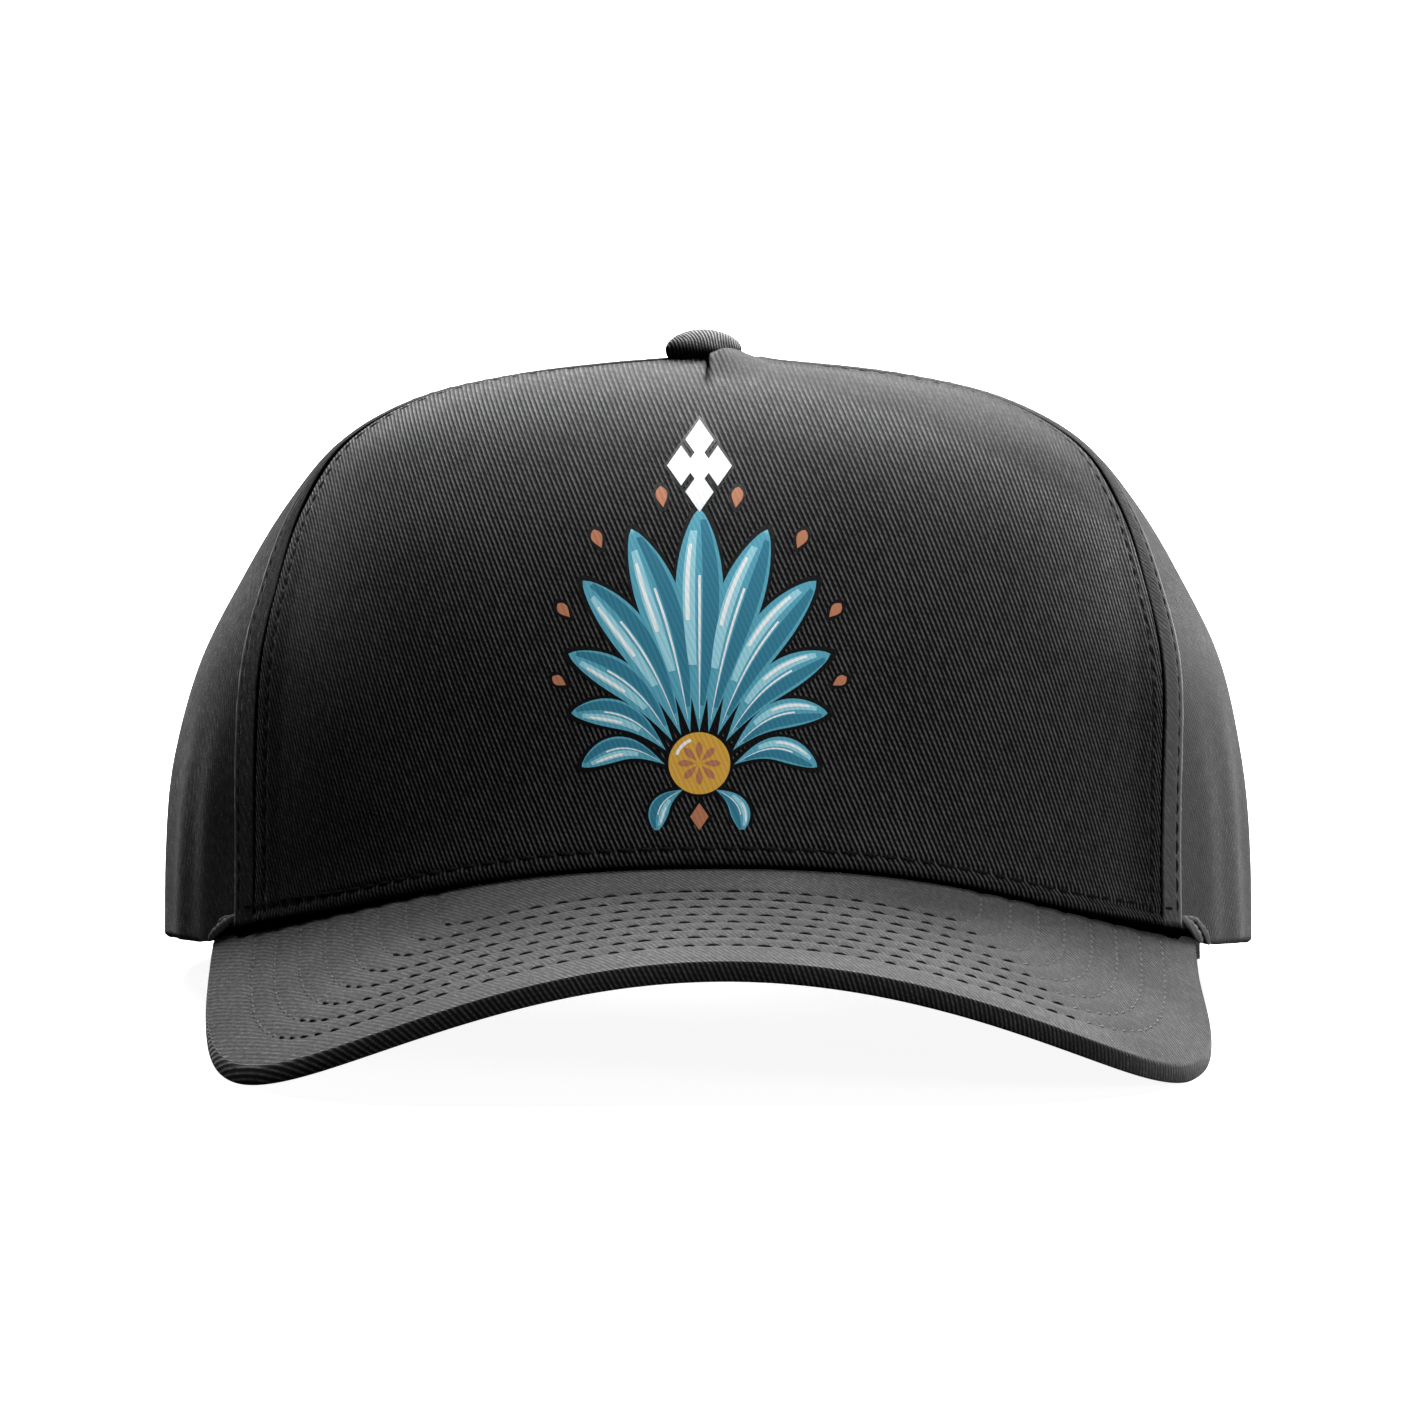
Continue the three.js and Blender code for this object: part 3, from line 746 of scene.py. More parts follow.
def stitches(name, lines):
    """Rows of short raised threads along lines of (points, normals) in mm, as one mesh."""
    period, length, radius, slot_name, sides, uneven = STITCHES[name]
    rng = np.random.default_rng(7)
    middle = np.linspace(0, 1, THREAD_RINGS)
    width = radius * np.array([0.5, 0.92, 1.0, 0.92, 0.5])
    height = radius * (1.05 * np.sin(math.pi * (0.1 + 0.8 * middle)) - 0.72)
    turn = np.linspace(0, 2 * math.pi, sides, endpoint=False)
    size = THREAD_RINGS * sides + 2
    one = tube_faces(THREAD_RINGS, sides)
    vertices, faces, start = [], [], 0
    for points, normals in lines:
        steps = np.linalg.norm(np.diff(points, axis=0), axis=-1)
        travelled = np.concatenate([[0], np.cumsum(steps)])
        count = max(int(travelled[-1] / period), 1)
        pace = travelled[-1] / count
        shifts = rng.uniform(-uneven, uneven, (count, 1))
        lengths = length * rng.uniform(1 - uneven, 1 + uneven, (count, 1))
        where = (np.arange(count)[:, None] + 0.5) * pace + shifts + (middle - 0.5)[None] * lengths

        def at(values):
            return np.stack([np.interp(where, travelled, values[:, k]) for k in range(3)], -1)

        centre, normal = at(points), unit(at(normals))
        along = unit(np.gradient(centre, axis=1))
        side = np.cross(along, normal)
        centre = centre + normal * height[None, :, None]
        ring = (
            side[:, :, None] * np.cos(turn)[None, None, :, None]
            + normal[:, :, None] * (0.8 * np.sin(turn))[None, None, :, None]
        ) * width[None, :, None, None]
        body = (centre[:, :, None] + ring).reshape(count, -1, 3)
        cap = along * radius * 0.5
        tips = np.stack([centre[:, 0] - cap[:, 0], centre[:, -1] + cap[:, -1]], 1)
        vertices.append(np.concatenate([body, tips], 1).reshape(-1, 3))
        for shift in range(start, start + count * size, size):
            faces.extend(tuple(v + shift for v in face) for face in one)
        start += count * size
    obj = mesh_object(name, place(np.concatenate(vertices)), faces, smooth_angle=80)
    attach(obj, "root")
    return obj


def bill_row(row, under=False):
    """A row's threads in parts of (points, normals, dark): those that run across keep the dark thread, the
    others a lighter copy of it, painted for the light they catch.
    """
    points = row_points(row, 1200)
    x, y = points[:, 0], points[:, 1]
    slope_x = (bill_top(x + 0.2, y) - bill_top(x - 0.2, y)) / 0.4
    slope_y = (bill_top(x, y + 0.2) - bill_top(x, y - 0.2)) / 0.4
    normal = unit(np.column_stack([-slope_x, -slope_y, np.ones(len(x))]))
    hem = crown(np.linspace(-BILL_END, BILL_END, 400), 0.0)
    reach = np.interp(x, hem[:, 0], hem[:, 1])
    shown = y < reach - 0.8
    points, normal = points[shown], normal[shown]
    if under:
        points = points - [0, 0, BILL_THICK]
        normal = -normal
    across = np.abs(np.gradient(points[:, 0])) / np.linalg.norm(np.gradient(points, axis=0), axis=-1)
    level = across > np.where(points[:, 0] < 0, 0.35, 0.72)
    cuts = np.flatnonzero(np.diff(level)) + 1
    points = points - normal * np.where(level, 0.17, 0.2)[:, None]
    parts = zip(np.split(points, cuts), np.split(normal, cuts), np.split(level, cuts))
    return [(line, above, bool(dark[0])) for line, above, dark in parts if len(line) > 20]


def build_stitching():
    over = [part for row in ROWS for part in bill_row(row)]
    rows = {
        "bill_stitches": [part[:2] for part in over if part[2]],
        "bill_stitches_under": [part[:2] for row in ROWS for part in bill_row(row, True)],
        "bill_stitches_beside": [part[:2] for part in over if not part[2]],
    }
    angles = np.linspace(-53.2, 53.2, 900)
    foot = crown(angles, hem_share(angles))
    s = share_at(foot[:, 2] + HEM_ROW + 1.2 * smooth(np.abs(angles), 35, 52))
    hem, seams, front, arch = [surface_line(angles, s, 0.1)], [], [], []
    for side in (-1, 1):
        # The hem's row runs on over the welt.
        reach = np.linspace(53.9, 56.2, 40) * side
        feet = crown(reach, hem_share(reach))
        hem.append(surface_line(reach, share_at(feet[:, 2] + 4.7), 0.45))
        foot = float(hem_share(np.array(side * 53.5))) + 0.02
        front.append(surface_line(*beside(front_seam(side), -side, FRONT_ROW, foot, 0.88), -0.06, 0.22))
        seams.append(surface_line(*beside(front_seam(side), side, WELT_ROW, foot, 0.88), -0.2, 1.0))
        for way in (-1, 1):
            seams.append(surface_line(*beside(back_seam(side), way, PLAIN_ROW, 0.03, 0.9), -0.1, 0.15))
        centre = beside(centre_seam(1), side, PLAIN_ROW, share_at(ARCH_HEIGHT + 4.5), 0.9)
        seams.append(surface_line(*centre, -0.1, 0.15))
        turn = np.radians(np.linspace(3, 90, 500))
        x = (ARCH_HALF_WIDTH + ARCH_ROW) * np.cos(turn)
        z = (ARCH_HEIGHT + ARCH_ROW) * np.sin(turn)
        arch.append(surface_line(side * arch_angle(np.maximum(x, 0)), share_at(z), -0.05))
    rows |= {"front_hem_stitches": hem, "seam_stitches": seams, "front_stitches": front}
    rows["arch_stitches"] = arch
    return [stitches(name, lines) for name, lines in rows.items()]


def sweep(centre, normal, radii, sides=14):
    """A closed tube along points in mm, with a radius for each and rounded ends."""
    along = unit(np.gradient(centre, axis=0))
    side = unit(np.cross(along, normal))
    up = np.cross(side, along)
    turn = np.linspace(0, 2 * math.pi, sides, endpoint=False)
    ring = side[:, None] * np.cos(turn)[None, :, None] + up[:, None] * np.sin(turn)[None, :, None]
    body = centre[:, None] + ring * radii[:, None, None]
    return np.concatenate([body.reshape(-1, 3), centre[:1], centre[-1:]]), tube_faces(len(centre), sides)


# The gathered folds of cloth at each side.
# Columns: angle and height of each end, radius, how far it stands out.
TACKS = {
    -1: [(57.2, 7.6, 62.7, 3.4, 0.7, 0.6), (58.6, 7.4, 60.9, 6.0, 0.35, 0.4)],
    1: [
        (57.5, 7.4, 61.6, 2.9, 0.75, 0.6),
        (60.6, 6.6, 63.3, 2.4, 0.55, 0.5),
        (58.3, 7.3, 60.9, 6.5, 0.35, 0.5),
    ],
}


def build_tacks():
    """The folds where the welt ends on the bill, one piece a side."""
    done = []
    for side, word in ((-1, "left"), (1, "right")):
        vertices, faces, start = [], [], 0
        for from_angle, from_height, to_angle, to_height, radius, out in TACKS[side]:
            t = np.linspace(0, 1, 26)
            angle = side * (from_angle + (to_angle - from_angle) * t)
            height = from_height + (to_height - from_height) * t
            s = share_at(height)
            normal = outward(angle, s)
            swell = out + 0.35 * np.sin(math.pi * t)
            centre = crown(angle, s) + normal * (swell - radius * 0.45)[:, None]
            radii = radius * np.maximum(np.sin(math.pi * (0.04 + 0.92 * t)), 0.05) ** 0.35
            body, quads = sweep(centre, normal, radii * (1 + 0.12 * np.sin(t * 30 + radius * 7)))
            vertices.append(body)
            faces.extend(tuple(v + start for v in f) for f in quads)
            start += len(body)
        points = place(np.concatenate(vertices))
        obj = mesh_object(f"tack_{word}", points, faces, np.concatenate(vertices)[:, [0, 2]] * MM, 80)
        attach(obj, "root")
        done.append(obj)
    return done


STEM_RADIUS, STEM_END = 1.1, -3.8


def build_button():
    belly, foot = 1.1, -0.45
    profile = [(STEM_RADIUS, STEM_END), (STEM_RADIUS, foot), (BUTTON_RADIUS * 0.7, foot)]
    for turn in np.radians(np.linspace(-80, 90, 36))[:-1]:
        bow, reach = (1.08, BUTTON_HEIGHT - belly) if turn > 0 else (0.1, belly - foot)
        profile.append((BUTTON_RADIUS * math.cos(turn) ** bow, belly + reach * math.sin(turn)))
    sides = 72
    turn = np.linspace(0, 2 * math.pi, sides, endpoint=False)
    rings = []
    for r, z in profile:
        r = r * (1 + 0.012 * np.sin(turn * 9 + 1) * smooth(BUTTON_RADIUS - r, 4.0, 0.0))
        rings.append(np.column_stack([r * np.cos(turn), r * np.sin(turn), np.full(sides, z)]))
    body = np.concatenate(rings + [[[0, 0, profile[0][1]], [0, 0, BUTTON_HEIGHT]]])
    faces = tube_faces(len(profile), sides, flip=True)
    uv = body[:, :2] * (1 + 0.25 * smooth(np.hypot(body[:, 0], body[:, 1]), 3, 6.3))[:, None]
    uv = uv + np.column_stack([0 * uv[:, 0], np.minimum(body[:, 2] - 2, 0)])
    shadow = 0.9 * (1 - smooth(body[:, 2] + 0.12 * body[:, 0], 0.6, 2.6))
    obj = mesh_object("button_cloth", place(body + BUTTON_AT), faces, uv * MM, 60, shadow)
    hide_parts("button")
    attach(obj, "root")
    return obj


def inner_band(name, node, slot_name, angles, height, thick, rows, edge, swell):
    """A band inside the panels that stands on the hem."""
    foot = hem_share(angles)[None, :]
    top = share_at(section(HEIGHT, foot) + height)
    s = foot + (top - foot) * dense_ends(rows, low=0.12, high=0.12, weight=0.6)[:, None]
    angle = np.broadcast_to(angles[None, :], s.shape)
    base, normal = crown(angle, s), outward(angle, s)
    share = (s - foot) / (top - foot) * height
    away = np.minimum(share, height - share)
    puff = roll(away, edge) + swell * np.sin(math.pi * share / height)
    outer = base - normal * (LINING_DEPTH - roll(away, edge) * 0.4)[..., None]
    inner = base - normal * (LINING_DEPTH + thick + puff)[..., None]
    for face in (outer, inner):
        face[0, :, 2] = hem_height(angles, face[0, :, 0], face[0, :, 1], 0.35)
    obj = shell(name, outer, inner, cloth_uv(base, base.shape[1] // 2))
    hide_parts(node)
    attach(obj, "root")
    return obj


def band_line(angles, height, depth):
    foot = hem_share(angles)
    s = share_at(section(HEIGHT, foot) + height)
    normal = outward(angles, s)
    return crown(angles, s) - normal * depth, -normal


# Columns and rows of the grids, and the heights of the rows of stitches.
BAND_GRID, STRAP_GRID, TAPE_GRID = (320, 40), (160, 40), (120, 9)
BAND_ROWS, STRAP_ROWS = (3.0, BAND_HEIGHT - 2.2), (2.4, STRAP_HEIGHT - 2.4)
BAND_CLEAR = 0.6
# The tapes over the seams. The depths are those of their two faces and of their threads under the cloth.
TAPE_HALF_WIDTH, TAPE_ROW, TAPE_TOP = 5.5, 4.125, 0.955
TAPE_NEAR, TAPE_FAR, TAPE_PUFF, TAPE_THREAD = 0.08, 0.62, 0.35, 0.66


def build_inside():
    strap_end = arch_angle(ARCH_HALF_WIDTH + STRAP_OVERLAP)
    band_end = arch_angle(ARCH_HALF_WIDTH + STRAP_OVERLAP + BAND_CLEAR)
    around = np.linspace(-band_end, band_end, BAND_GRID[0])
    sizes = BAND_HEIGHT, BAND_THICK, BAND_GRID[1], 0.7, 0.25
    done = [inner_band("sweatband_cloth", "sweatband", "sweatband_cloth", around, *sizes)]
    depth = LINING_DEPTH + BAND_THICK + 0.02
    lines = [band_line(around[3:-3], height, depth) for height in BAND_ROWS]
    done.append(stitches("sweatband_stitches", lines))
    across = np.linspace(strap_end, 360 - strap_end, STRAP_GRID[0])
    sizes = STRAP_HEIGHT, STRAP_THICK, STRAP_GRID[1], 0.5, 0
    done.append(inner_band("strap_webbing", "closure_strap", "strap_webbing", across, *sizes))
    edge = across[3:-3]
    lines = []
    for height in STRAP_ROWS:
        points, inward = band_line(edge, height, LINING_DEPTH - 0.04)
        lines.append((points, -inward))
        lines.append(band_line(edge, height, LINING_DEPTH + STRAP_THICK - 0.02))
    done.append(stitches("strap_stitches", lines))
    foot, arch = (float(share_at(height)) for height in (BAND_HEIGHT + 2.0, ARCH_HEIGHT + 2.5))
    seams = [(seam(side), foot) for seam in (front_seam, back_seam) for side in (-1, 1)]
    ribbons, borders, uvs = [], [], []
    for seam, start in seams + [(centre_seam(1), arch)]:
        near, far = [], []
        for t in np.linspace(-TAPE_HALF_WIDTH, TAPE_HALF_WIDTH, TAPE_GRID[1]):
            a, s = beside(seam, 1, t, start, TAPE_TOP, TAPE_GRID[0])
            points, normal = crown(a, s), outward(a, s)
            near.append(points - normal * (PANEL_THICK + TAPE_NEAR))
            far.append(points - normal * (PANEL_THICK + TAPE_FAR + TAPE_PUFF * bell(t, 0, 2.0)))
            if abs(abs(t) - TAPE_ROW) < 0.01:
                borders.append((points - normal * (PANEL_THICK + TAPE_THREAD), -normal))
        ribbons.append((np.stack(near), np.stack(far)))
        uvs += [cloth_uv(ribbons[-1][0], TAPE_GRID[0] // 2).reshape(-1, 2)] * 2
    obj = join_walls("seam_tapes", ribbons, np.concatenate(uvs))
    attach(obj, "root")
    done.append(obj)
    done.append(stitches("tape_stitches", borders))
    return done


# The print on the front: a palmette of rounded petals over a disc, under a small diamond of diamonds.
PRINT_FOOT = (-1.4, 34.5)
EMBLEM = (-1.4, 82.3)
# Where the emblem's diamonds lie, across and up from its middle, and half the size of each.
EMBLEM_PLACES = [(0, 0), (-3.0, 0), (3.0, 0), (0, 4.2), (0, -4.2)]
EMBLEM_DIAMOND, EMBLEM_OUTLINE = (2.3, 3.2), (2.9, 4.0)
OUTLINE = 0.5
# Petals of its right half, and the two leaves that curl out below them.
# Columns: lean in degrees, distance of the foot, length, half width, bend.
PETALS = [
    (0.0, 5.0, 36.0, 3.9, 0.0),
    (16.5, 5.2, 34.0, 3.6, 1.2),
    (33.0, 5.4, 29.5, 3.2, 2.0),
    (50.5, 5.6, 22.0, 2.7, 2.4),
    (69.0, 5.8, 16.5, 2.3, 2.6),
    (92.0, 5.6, 13.5, 2.0, 2.8),
    (148.0, 5.0, 8.0, 1.6, 1.6),
]
# Stripes of a petal: their part of its width, of its length, and how far they keep from its edge.
PETAL_SHADE = {"part": (0.15, 0.9), "stretch": (0.12, 0.95), "thin": 0.92}
PETAL_LIGHT = {"part": (-0.78, -0.2), "stretch": (0.3, 0.9), "thin": 0.9}
PETAL_GLINT = {"part": (-0.6, -0.42), "stretch": (0.5, 0.84)}
PETAL_VEIN = {"part": (-0.05, 0.06), "stretch": (0.06, 0.7)}
# Small tan drops beyond them. Columns: lean, distance of the foot, length, half width.
DROPS = [(8.2, 41.5, 3.4, 0.95), (24.8, 38.0, 3.2, 0.9), (42.0, 31.5, 2.9, 0.85), (60.0, 25.0, 2.6, 0.8)]
DISC_RADIUS = 5.0
# The small leaves on the disc: distance of the foot, length, half width.
DISC_LEAF = (0.6, 2.9, 0.55)
# The diamond under the disc: how far below its middle, half width, half height.
LOW_DIAMOND = (8.6, 1.5, 2.2)
BULGE = 1.45


def on_front(points, lift):
    """Flat points (across, up) in mm, laid on the front panel's cloth."""
    s = share_at(points[..., 1])
    width = section(HALF_WIDTH, s)
    x = points[..., 0] - crown_lean(points[..., 1])
    angle = np.degrees(np.arcsin((np.abs(x) / width) ** (SQUARENESS / 2))) * np.sign(x)
    height = lift + FRONT_WOBBLE * noise(angle, s, FRONT_SEED)
    return crown(angle, s) + outward(angle, s) * height[..., None]


def heading(lean):
    """The flat direction that leans so many degrees to the right of straight up."""
    return np.array([math.sin(math.radians(lean)), math.cos(math.radians(lean))])


def blade(foot, lean, length, half_width, bend=0.0, grow=0.0, part=(-1.0, 1.0), stretch=(0.0, 1.0), thin=1.0):
    """A leaf as a grid of flat points, from its foot along a bent middle line to its tip."""
    t = np.linspace(stretch[0], stretch[1], 36)
    along = heading(lean)
    aside = np.array([along[1], -along[0]])
    sway = -bend * np.sin(math.pi * t)
    middle = np.array(foot) + np.outer(t * length, along) + np.outer(sway, aside)
    way = unit(np.gradient(middle, axis=0))
    middle = middle + way * (np.linspace(-1.6, 1.6, 36) * grow)[:, None]
    half = half_width * thin * np.sin(math.pi * np.clip(t, 0, 1) ** BULGE) ** 0.72 + grow
    side = np.stack([way[:, 1], -way[:, 0]], -1)
    across = np.linspace(part[0], part[1], 7)
    return middle[:, None] + side[:, None] * (across[None, :, None] * half[:, None, None])


def ring_part(centre, inner, outer, start, end, count=49):
    """Part of a ring as a grid of flat points, with its angles counted from the right."""
    turn = np.radians(np.linspace(start, end, count))
    radii = np.linspace(inner, outer, 6)
    way = np.stack([np.cos(turn), np.sin(turn)], -1)
    return np.array(centre) + way[:, None] * radii[None, :, None]


def diamond(centre, half_width, half_height):
    u, v = np.meshgrid(np.linspace(-1, 1, 9), np.linspace(-1, 1, 9))
    return np.array(centre) + np.stack([(u - v) / 2 * half_width, (u + v) / 2 * half_height], -1)


def print_layer(name, grids, lift):
    """Flat grids of one colour as one thin closed mesh on the cloth."""
    walls = []
    for grid in grids:
        if np.cross(grid[1, 0] - grid[0, 0], grid[0, 1] - grid[0, 0]) <= 0:
            grid = grid[::-1]
        walls.append((on_front(grid, lift), on_front(grid, lift - 0.1)))
    obj = join_walls(name, walls)
    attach(obj, "root")
    return obj


def build_print():
    outline, body, shade, light, tan, gold, white = [], [], [], [], [], [], []
    centre = np.array(PRINT_FOOT)
    for lean, start, length, half, bend in PETALS:
        for side in (-1, 1) if lean else (1,):
            shape = (centre + heading(side * lean) * start, side * lean, length, half, side * bend)
            outline.append(blade(*shape, grow=OUTLINE))
            body.append(blade(*shape))
            shade.append(blade(*shape, **PETAL_SHADE))
            light.append(blade(*shape, **PETAL_LIGHT))
            white.append(blade(*shape, **PETAL_GLINT))
            white.append(blade(*shape, **PETAL_VEIN))
    for lean, start, length, half in DROPS:
        for side in (-1, 1):
            shape = (centre + heading(side * lean) * start, side * lean, length, half)
            outline.append(blade(*shape, grow=OUTLINE * 0.8))
            tan.append(blade(*shape))
    drop, half_width, half_height = LOW_DIAMOND
    foot = centre - [0, drop]
    outline.append(diamond(foot, half_width + OUTLINE * 1.3, half_height + OUTLINE * 1.6))
    tan.append(diamond(foot, half_width, half_height))
    outline.append(ring_part(centre, 0.05, DISC_RADIUS + OUTLINE, 0, 360))
    gold.append(ring_part(centre, 0.05, DISC_RADIUS, 0, 360))
    white.append(ring_part(centre, DISC_RADIUS * 0.74, DISC_RADIUS * 0.84, 110, 160))
    start, length, half = DISC_LEAF
    for turn in range(0, 360, 45):
        tan.append(blade(centre + heading(turn) * start, turn, length, half))
    for offset in EMBLEM_PLACES:
        foot = np.array(EMBLEM) + offset
        outline.append(diamond(foot, *EMBLEM_OUTLINE))
        white.append(diamond(foot, *EMBLEM_DIAMOND))
    layers = {
        "black": (outline, 0.04),
        "blue": (body, 0.07),
        "deep": (shade, 0.09),
        "pale": (light, 0.11),
        "gold": (gold, 0.07),
        "tan": (tan, 0.1),
        "white": (white, 0.14),
    }
    return {key: print_layer(f"print_{key}", grids, lift) for key, (grids, lift) in layers.items()}


class Graph:
    """A short way to write the nodes of a material or of the world."""

    def __init__(self, owner):
        owner.use_nodes = True
        self.owner = owner
        self.nodes, self.links = owner.node_tree.nodes, owner.node_tree.links

    def fill(self, node, inputs):
        for key, value in dict(inputs).items():
            if isinstance(value, bpy.types.NodeSocket):
                self.links.new(value, node.inputs[key])
            else:
                node.inputs[key].default_value = value

    def surface(self, inputs):
        self.fill(self.nodes["Principled BSDF"], inputs)

    def node(self, kind, inputs=(), **settings):
        made = self.nodes.new(kind)
        for key, value in settings.items():
            setattr(made, key, value)
        self.fill(made, inputs)
        return made

    def math(self, operation, *values):
        return self.node("ShaderNodeMath", enumerate(values), operation=operation).outputs[0]

    def add(self, a, b):
        return self.math("ADD", a, b)

    def less(self, a, b):
        return self.math("SUBTRACT", a, b)

    def times(self, a, b):
        return self.math("MULTIPLY", a, b)

    def times_add(self, a, b, c):
        return self.math("MULTIPLY_ADD", a, b, c)

    def wave(self, phase):
        return self.times_add(self.math("SINE", phase), 0.5, 0.5)

    def mix(self, share, a, b):
        inputs = {"Factor": share, "A": a, "B": b}
        return self.node("ShaderNodeMix", inputs, data_type="RGBA").outputs["Result"]

    def noise(self, vector, scale, detail=2.0, roughness=0.5):
        inputs = {"Vector": vector, "Scale": scale, "Detail": detail, "Roughness": roughness}
        return self.node("ShaderNodeTexNoise", inputs).outputs["Fac"]

    def vector(self, x, y):
        return self.node("ShaderNodeCombineXYZ", {"X": x, "Y": y}).outputs["Vector"]

    def ramp(self, value, low, high, to_low=0.0, to_high=1.0, kind="LINEAR"):
        inputs = {"Value": value, "From Min": low, "From Max": high, "To Min": to_low, "To Max": to_high}
        return self.node("ShaderNodeMapRange", inputs, clamp=True, interpolation_type=kind).outputs["Result"]

    def in_mm(self, metres):
        inputs = {0: metres, "Scale": 1 / MM}
        return self.node("ShaderNodeVectorMath", inputs, operation="SCALE").outputs["Vector"]

    def cloth(self):
        """The cloth's own coordinates in millimetres: both as a vector, along it and up it."""
        scaled = self.in_mm(self.node("ShaderNodeUVMap", uv_map="cloth").outputs["UV"])
        split = self.node("ShaderNodeSeparateXYZ", {0: scaled})
        return scaled, split.outputs["X"], split.outputs["Y"]

    def marks(self, name):
        return self.node("ShaderNodeAttribute", attribute_name=name).outputs["Fac"]

    def bump(self, height, strength, depth):
        inputs = {"Height": height, "Strength": strength, "Distance": depth}
        return self.node("ShaderNodeBump", inputs).outputs["Normal"]


GLOSS = 0.12
# The inks glow a little: painted light that keeps the print bright where the cloth lies in shade.
INK_GLOW = 0.22
HIGHLIGHT_LIFT = 0.8
# Cloths. Columns: tone of the grooves, tone of the ribs, the ribs' slant in degrees and distance in mm,
# contrast, relief, sheen and its roughness, roughness, flecks, and how far the cloth is felted.
CLOTHS = {
    "crown_twill": (0.0003, 0.118, 65.5, 0.79, 1.2, 1.0, 0.34, 0.17, 0.85, 0.65, 0.0),
    # The sides, the tacks, the bill and the button are lighter copies of the same cloth, painted for the
    # light that falls on them; the sides are felted too.
    "side_twill_lit": (0.02, 0.3, 65.5, 0.79, 1.0, 0.4, 0.65, 0.22, 0.85, 0.6, 0.93),
    "tack_twill_lit": (0.18, 0.55, 65.5, 0.79, 0.3, 0.4, 1.0, 0.3, 0.85, 0.5, 0.0),
    "bill_twill": (0.05, 0.5, 65.5, 0.79, 0.17, 0.3, 0.9, 0.25, 0.85, 0.5, 0.0),
    "button_twill": (0.02, 0.7, 78.0, 0.62, 0.7, 0.6, 1.0, 0.2, 0.85, 0.5, 0.0),
    "lining_twill": (0.006, 0.018, 65.5, 0.79, 0.8, 0.3, 0.3, 0.3, 0.85, 0.5, 0.0),
    "ink": (0.0, 0.0, 65.5, 0.79, 0.3, 0.25, 0.0, 0.3, 0.6, 0.12, 0.0),
}


def grey(value):
    return (value, value, value * 1.03, 1)


def twill(name, cloth, ink=None):
    """Twill cloth with diagonal ribs of yarn, or ink of one colour on it."""
    dark, light, lean, pitch, contrast, relief, sheen, sheen_rough, roughness, fleck, felted = CLOTHS[cloth]
    g = Graph(bpy.data.materials.new(name))
    scaled, u, v = g.cloth()
    sine, cosine = math.sin(math.radians(lean)), math.cos(math.radians(lean))
    across = g.add(g.times(u, sine), g.times(v, cosine))
    along = g.less(g.times(v, sine), g.times(u, cosine))
    # Ribs that wander a little, with the weft's floats across them.
    stretched = g.vector(across, g.times(along, 0.18))
    wander = g.times(g.less(g.noise(stretched, 0.9, 3.0), 0.5), 0.2)
    phase = g.times(g.add(across, wander), 2 * math.pi / pitch)
    floats = g.wave(g.times_add(along, 2 * math.pi / (pitch * 1.25), g.times(phase, 0.5)))
    height = g.add(g.times(g.wave(phase), 0.95), g.times(floats, 0.15))
    shown = contrast if ink else g.times_add(g.marks("felt"), -0.92 * contrast, contrast * (1 - felted))
    tone = g.times_add(g.less(height, 0.5), shown, 0.5)
    # Uneven yarn, soft patches, lint and grain.
    yarn = g.times_add(g.less(g.noise(stretched, 2.6), 0.5), 1.3, 0.5)
    tone = g.add(tone, g.times(g.less(yarn, 0.5), fleck))
    tone = g.add(tone, g.times(g.less(g.noise(scaled, 0.035, 3.0), 0.5), 0.35))
    lint = g.ramp(g.noise(scaled, 1.9, 1.0), 0.72, 0.8)
    tone = g.add(tone, g.times(lint, 0.5))
    tone = g.times_add(g.less(g.noise(scaled, 2.9, 3.0, 0.7), 0.5), fleck * 1.6, tone)
    shade = g.math("POWER", g.ramp(tone, 0.1, 1.15), 2.7)
    if ink:
        base = g.mix(shade, tuple(c * (1 - 0.28 * contrast) for c in ink[:3]) + (1,), ink)
        g.surface({"Specular IOR Level": GLOSS, "Emission Color": base, "Emission Strength": INK_GLOW})
    else:
        # A positive mark is painted shade: it darkens the cloth and takes its sheen. A negative one is a
        # painted highlight that makes it pale.
        painted_shading = g.marks("painted_shading")
        painted_highlight = g.times_add(g.math("MINIMUM", painted_shading, 0.0), -HIGHLIGHT_LIFT * light, dark)
        pale = g.node("ShaderNodeCombineColor", {"Red": painted_highlight, "Green": painted_highlight, "Blue": painted_highlight}).outputs["Color"]
        base = g.mix(g.math("MAXIMUM", painted_shading, 0.0), g.mix(shade, pale, grey(light)), grey(0.0005))
        clear = g.less(1.0, painted_shading)
        fibres = g.times(g.times_add(shade, 1.7 * sheen, 0.12 * sheen), clear)
        g.surface({"Sheen Weight": fibres, "Specular IOR Level": g.times(clear, GLOSS)})
    fuzzy = g.add(height, g.times(g.noise(scaled, 5.0), 0.5))
    g.surface({"Base Color": base, "Normal": g.bump(fuzzy, relief, 0.00016), "Roughness": roughness})
    g.surface({"Sheen Roughness": sheen_rough, "Sheen Tint": (1, 1, 1, 1)})
    return g.owner


def thread(name, value, roughness):
    """Twisted sewing thread."""
    g = Graph(bpy.data.materials.new(name))
    where = g.in_mm(g.node("ShaderNodeTexCoord").outputs["Object"])
    inputs = {"Vector": where, "Scale": 2.2, "Distortion": 1.5}
    twist = g.node("ShaderNodeTexWave", inputs, bands_direction="DIAGONAL").outputs["Fac"]
    base = g.mix(twist, grey(value * 0.6), grey(value * 1.5))
    g.surface({"Base Color": base, "Normal": g.bump(twist, 0.3, 0.00008), "Roughness": roughness})
    g.surface({"Specular IOR Level": 0.1})
    return g.owner


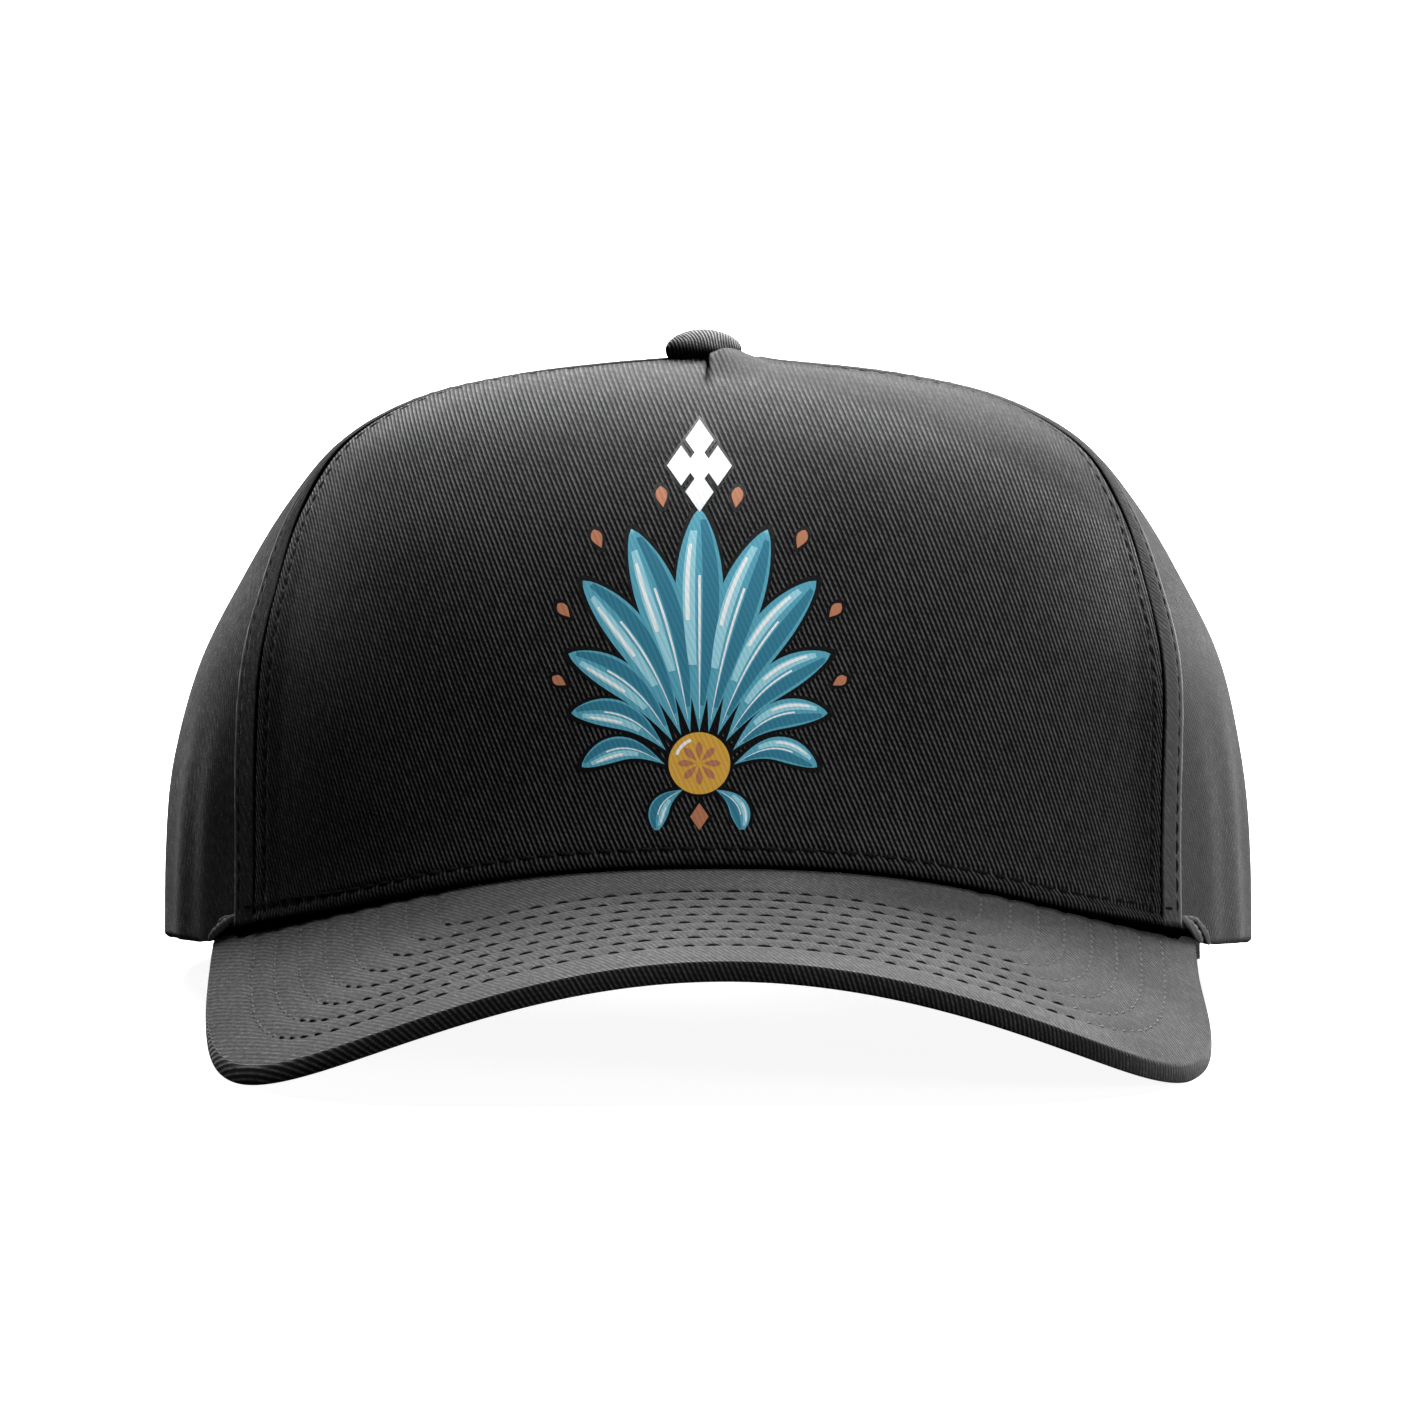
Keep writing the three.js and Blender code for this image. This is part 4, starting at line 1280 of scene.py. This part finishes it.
def webbing(name, dark, light):
    """Flat woven webbing, with its ribs across the strap."""
    g = Graph(bpy.data.materials.new(name))
    _, u, v = g.cloth()
    warp = g.wave(g.times(v, 2 * math.pi / 1.1))
    weft = g.math("SINE", g.times_add(u, 2 * math.pi / 0.9, g.times(v, 2.0)))
    height = g.add(g.times(warp, 0.5), g.times_add(weft, 0.25, 0.25))
    g.surface({"Base Color": g.mix(height, grey(dark), grey(light)), "Normal": g.bump(height, 0.5, 0.0003)})
    g.surface({"Roughness": 0.75, "Sheen Weight": 0.2})
    return g.owner


def lit_table(tone, glow):
    """The table's pale matt top, which glows a little."""
    g = Graph(bpy.data.materials.new("pale_table"))
    low, high = ((value, value, value, 1) for value in (tone * 0.985, tone))
    soft = g.mix(g.noise(g.node("ShaderNodeTexCoord").outputs["Object"], 3.0), low, high)
    g.surface({"Base Color": soft, "Roughness": 0.9, "Specular IOR Level": 0.0})
    g.surface({"Emission Color": (1, 1, 1, 1), "Emission Strength": glow})
    return g.owner


def paint(objects, material):
    for obj in objects:
        obj.data.materials.clear()
        obj.data.materials.append(material)


crown_pieces = build_crown()
bill_piece = build_bill()
button_piece = build_button()
tacks = build_tacks()
bill_top_stitches, bill_under_stitches, bill_side_stitches, *crown_stitches = build_stitching()
sweatband, band_stitches, strap, strap_stitches, tapes, tape_stitches = build_inside()
prints = build_print()

painted = {
    "crown_twill": crown_pieces[:1],
    "side_twill_lit": crown_pieces[1:],
    "tack_twill_lit": tacks,
    "bill_twill": [bill_piece],
    "button_twill": [button_piece],
    "lining_twill": [sweatband, tapes],
}
for cloth, pieces in painted.items():
    paint(pieces, twill(cloth, cloth))
paint([strap], webbing("strap_webbing", 0.004, 0.014))
paint([bill_top_stitches, bill_under_stitches], thread("bill_thread", 0.002, 0.65))
# The threads along the bill's sides are a lighter copy of the black thread, painted for the light they catch.
paint([bill_side_stitches], thread("bill_thread_lit", 0.14, 0.65))
paint(crown_stitches + [band_stitches, strap_stitches, tape_stitches], thread("crown_thread", 0.006, 0.6))
INKS = {
    "black": (0.004, 0.004, 0.005, 1),
    "blue": (0.10, 0.38, 0.50, 1),
    "deep": (0.035, 0.20, 0.30, 1),
    "pale": (0.33, 0.66, 0.76, 1),
    "tan": (0.47, 0.19, 0.10, 1),
    "gold": (0.68, 0.38, 0.06, 1),
    "white": (0.9, 0.92, 0.93, 1),
}
for colour, piece in prints.items():
    paint([piece], twill(f"ink_{colour}", "ink", INKS[colour]))

# Studio: a pale lit table, a dim room with a bright ceiling and a bright strip, and three soft lights.
ROOM, CEILING = 0.031, 3.9
CEILING_FROM, CEILING_FULL = 0.84, 0.98
STRIP_AHEAD, STRIP_LEFT, STRIP_RIGHT = 0.03, 0.05, 1.0
STRIP_TOP = 0.07
STRIP_SIDE = 0.35
TABLE_TONE, TABLE_GLOW = 0.9, 0.92
floor = mesh_object("floor", [(-20, -20, 0), (20, -20, 0), (20, 20, 0), (-20, 20, 0)], [(0, 1, 2, 3)])
paint([floor], lit_table(TABLE_TONE, TABLE_GLOW))
floor.visible_diffuse = False
floor.visible_glossy = False

room = Graph(bpy.data.worlds.new("room"))
bpy.context.scene.world = room.owner
split = room.node("ShaderNodeSeparateXYZ", {0: room.node("ShaderNodeTexCoord").outputs["Generated"]})
across, up = split.outputs["X"], split.outputs["Z"]
glow = room.ramp(up, CEILING_FROM, CEILING_FULL, ROOM, CEILING, "SMOOTHSTEP")
right = room.ramp(across, STRIP_SIDE, 1.0, 0.0, STRIP_RIGHT, "SMOOTHSTEP")
left = room.ramp(across, -STRIP_SIDE, -1.0, 0.0, STRIP_LEFT, "SMOOTHSTEP")
strip = room.add(room.add(right, left), STRIP_AHEAD)
level = room.math("COMPARE", up, 0.0, STRIP_TOP)
sky = {"Strength": room.times_add(level, strip, glow), "Color": (1, 1, 1, 1)}
room.fill(room.nodes["Background"], sky)

# Soft lights. Columns: name, place, where it points, width, height, watts.
LIGHTS = [
    ("overhead", (0.0, 1.1, 1.35), (0.0, 0.0, 0.08), 1.0, 0.7, 52),
    ("back_rim", (0.5, 1.8, 0.85), (0.0, 0.0, 0.1), 1.6, 0.5, 72),
    ("right_window", (1.2, -1.0, 0.12), (0.0, 0.0, 0.08), 0.5, 0.5, 14),
]


def aimed(name, data, position, target):
    """An object that stands at a place and looks at another."""
    obj = bpy.data.objects.new(name, data)
    bpy.context.scene.collection.objects.link(obj)
    obj.location = position
    obj.rotation_euler = (Vector(target) - Vector(position)).to_track_quat("-Z", "Y").to_euler()
    return obj


for name, position, target, width, height, watts in LIGHTS:
    data = bpy.data.lights.new(name, "AREA")
    data.shape = "RECTANGLE"
    data.size, data.size_y, data.energy = width, height, watts
    aimed(name, data, position, target)

# Camera: two degrees above the cap's own level, two metres away, with its focal length in pixels.
LOOK_AT = np.array([0.0, 0.0, 40.0])
AWAY = 2000.0
LEVEL = math.radians(2.0)
FOCAL, PICTURE, SENSOR = 11730.0, 1416.0, 36.0
lens = bpy.data.cameras.new("camera")
lens.sensor_width = SENSOR
lens.lens = FOCAL * SENSOR / PICTURE
lens.clip_end = 50.0
stand = place(LOOK_AT + AWAY * np.array([0.0, -math.cos(LEVEL), math.sin(LEVEL)]))
bpy.context.scene.camera = aimed("camera", lens, stand, place(LOOK_AT))
bpy.context.scene.view_settings.view_transform = "Standard"
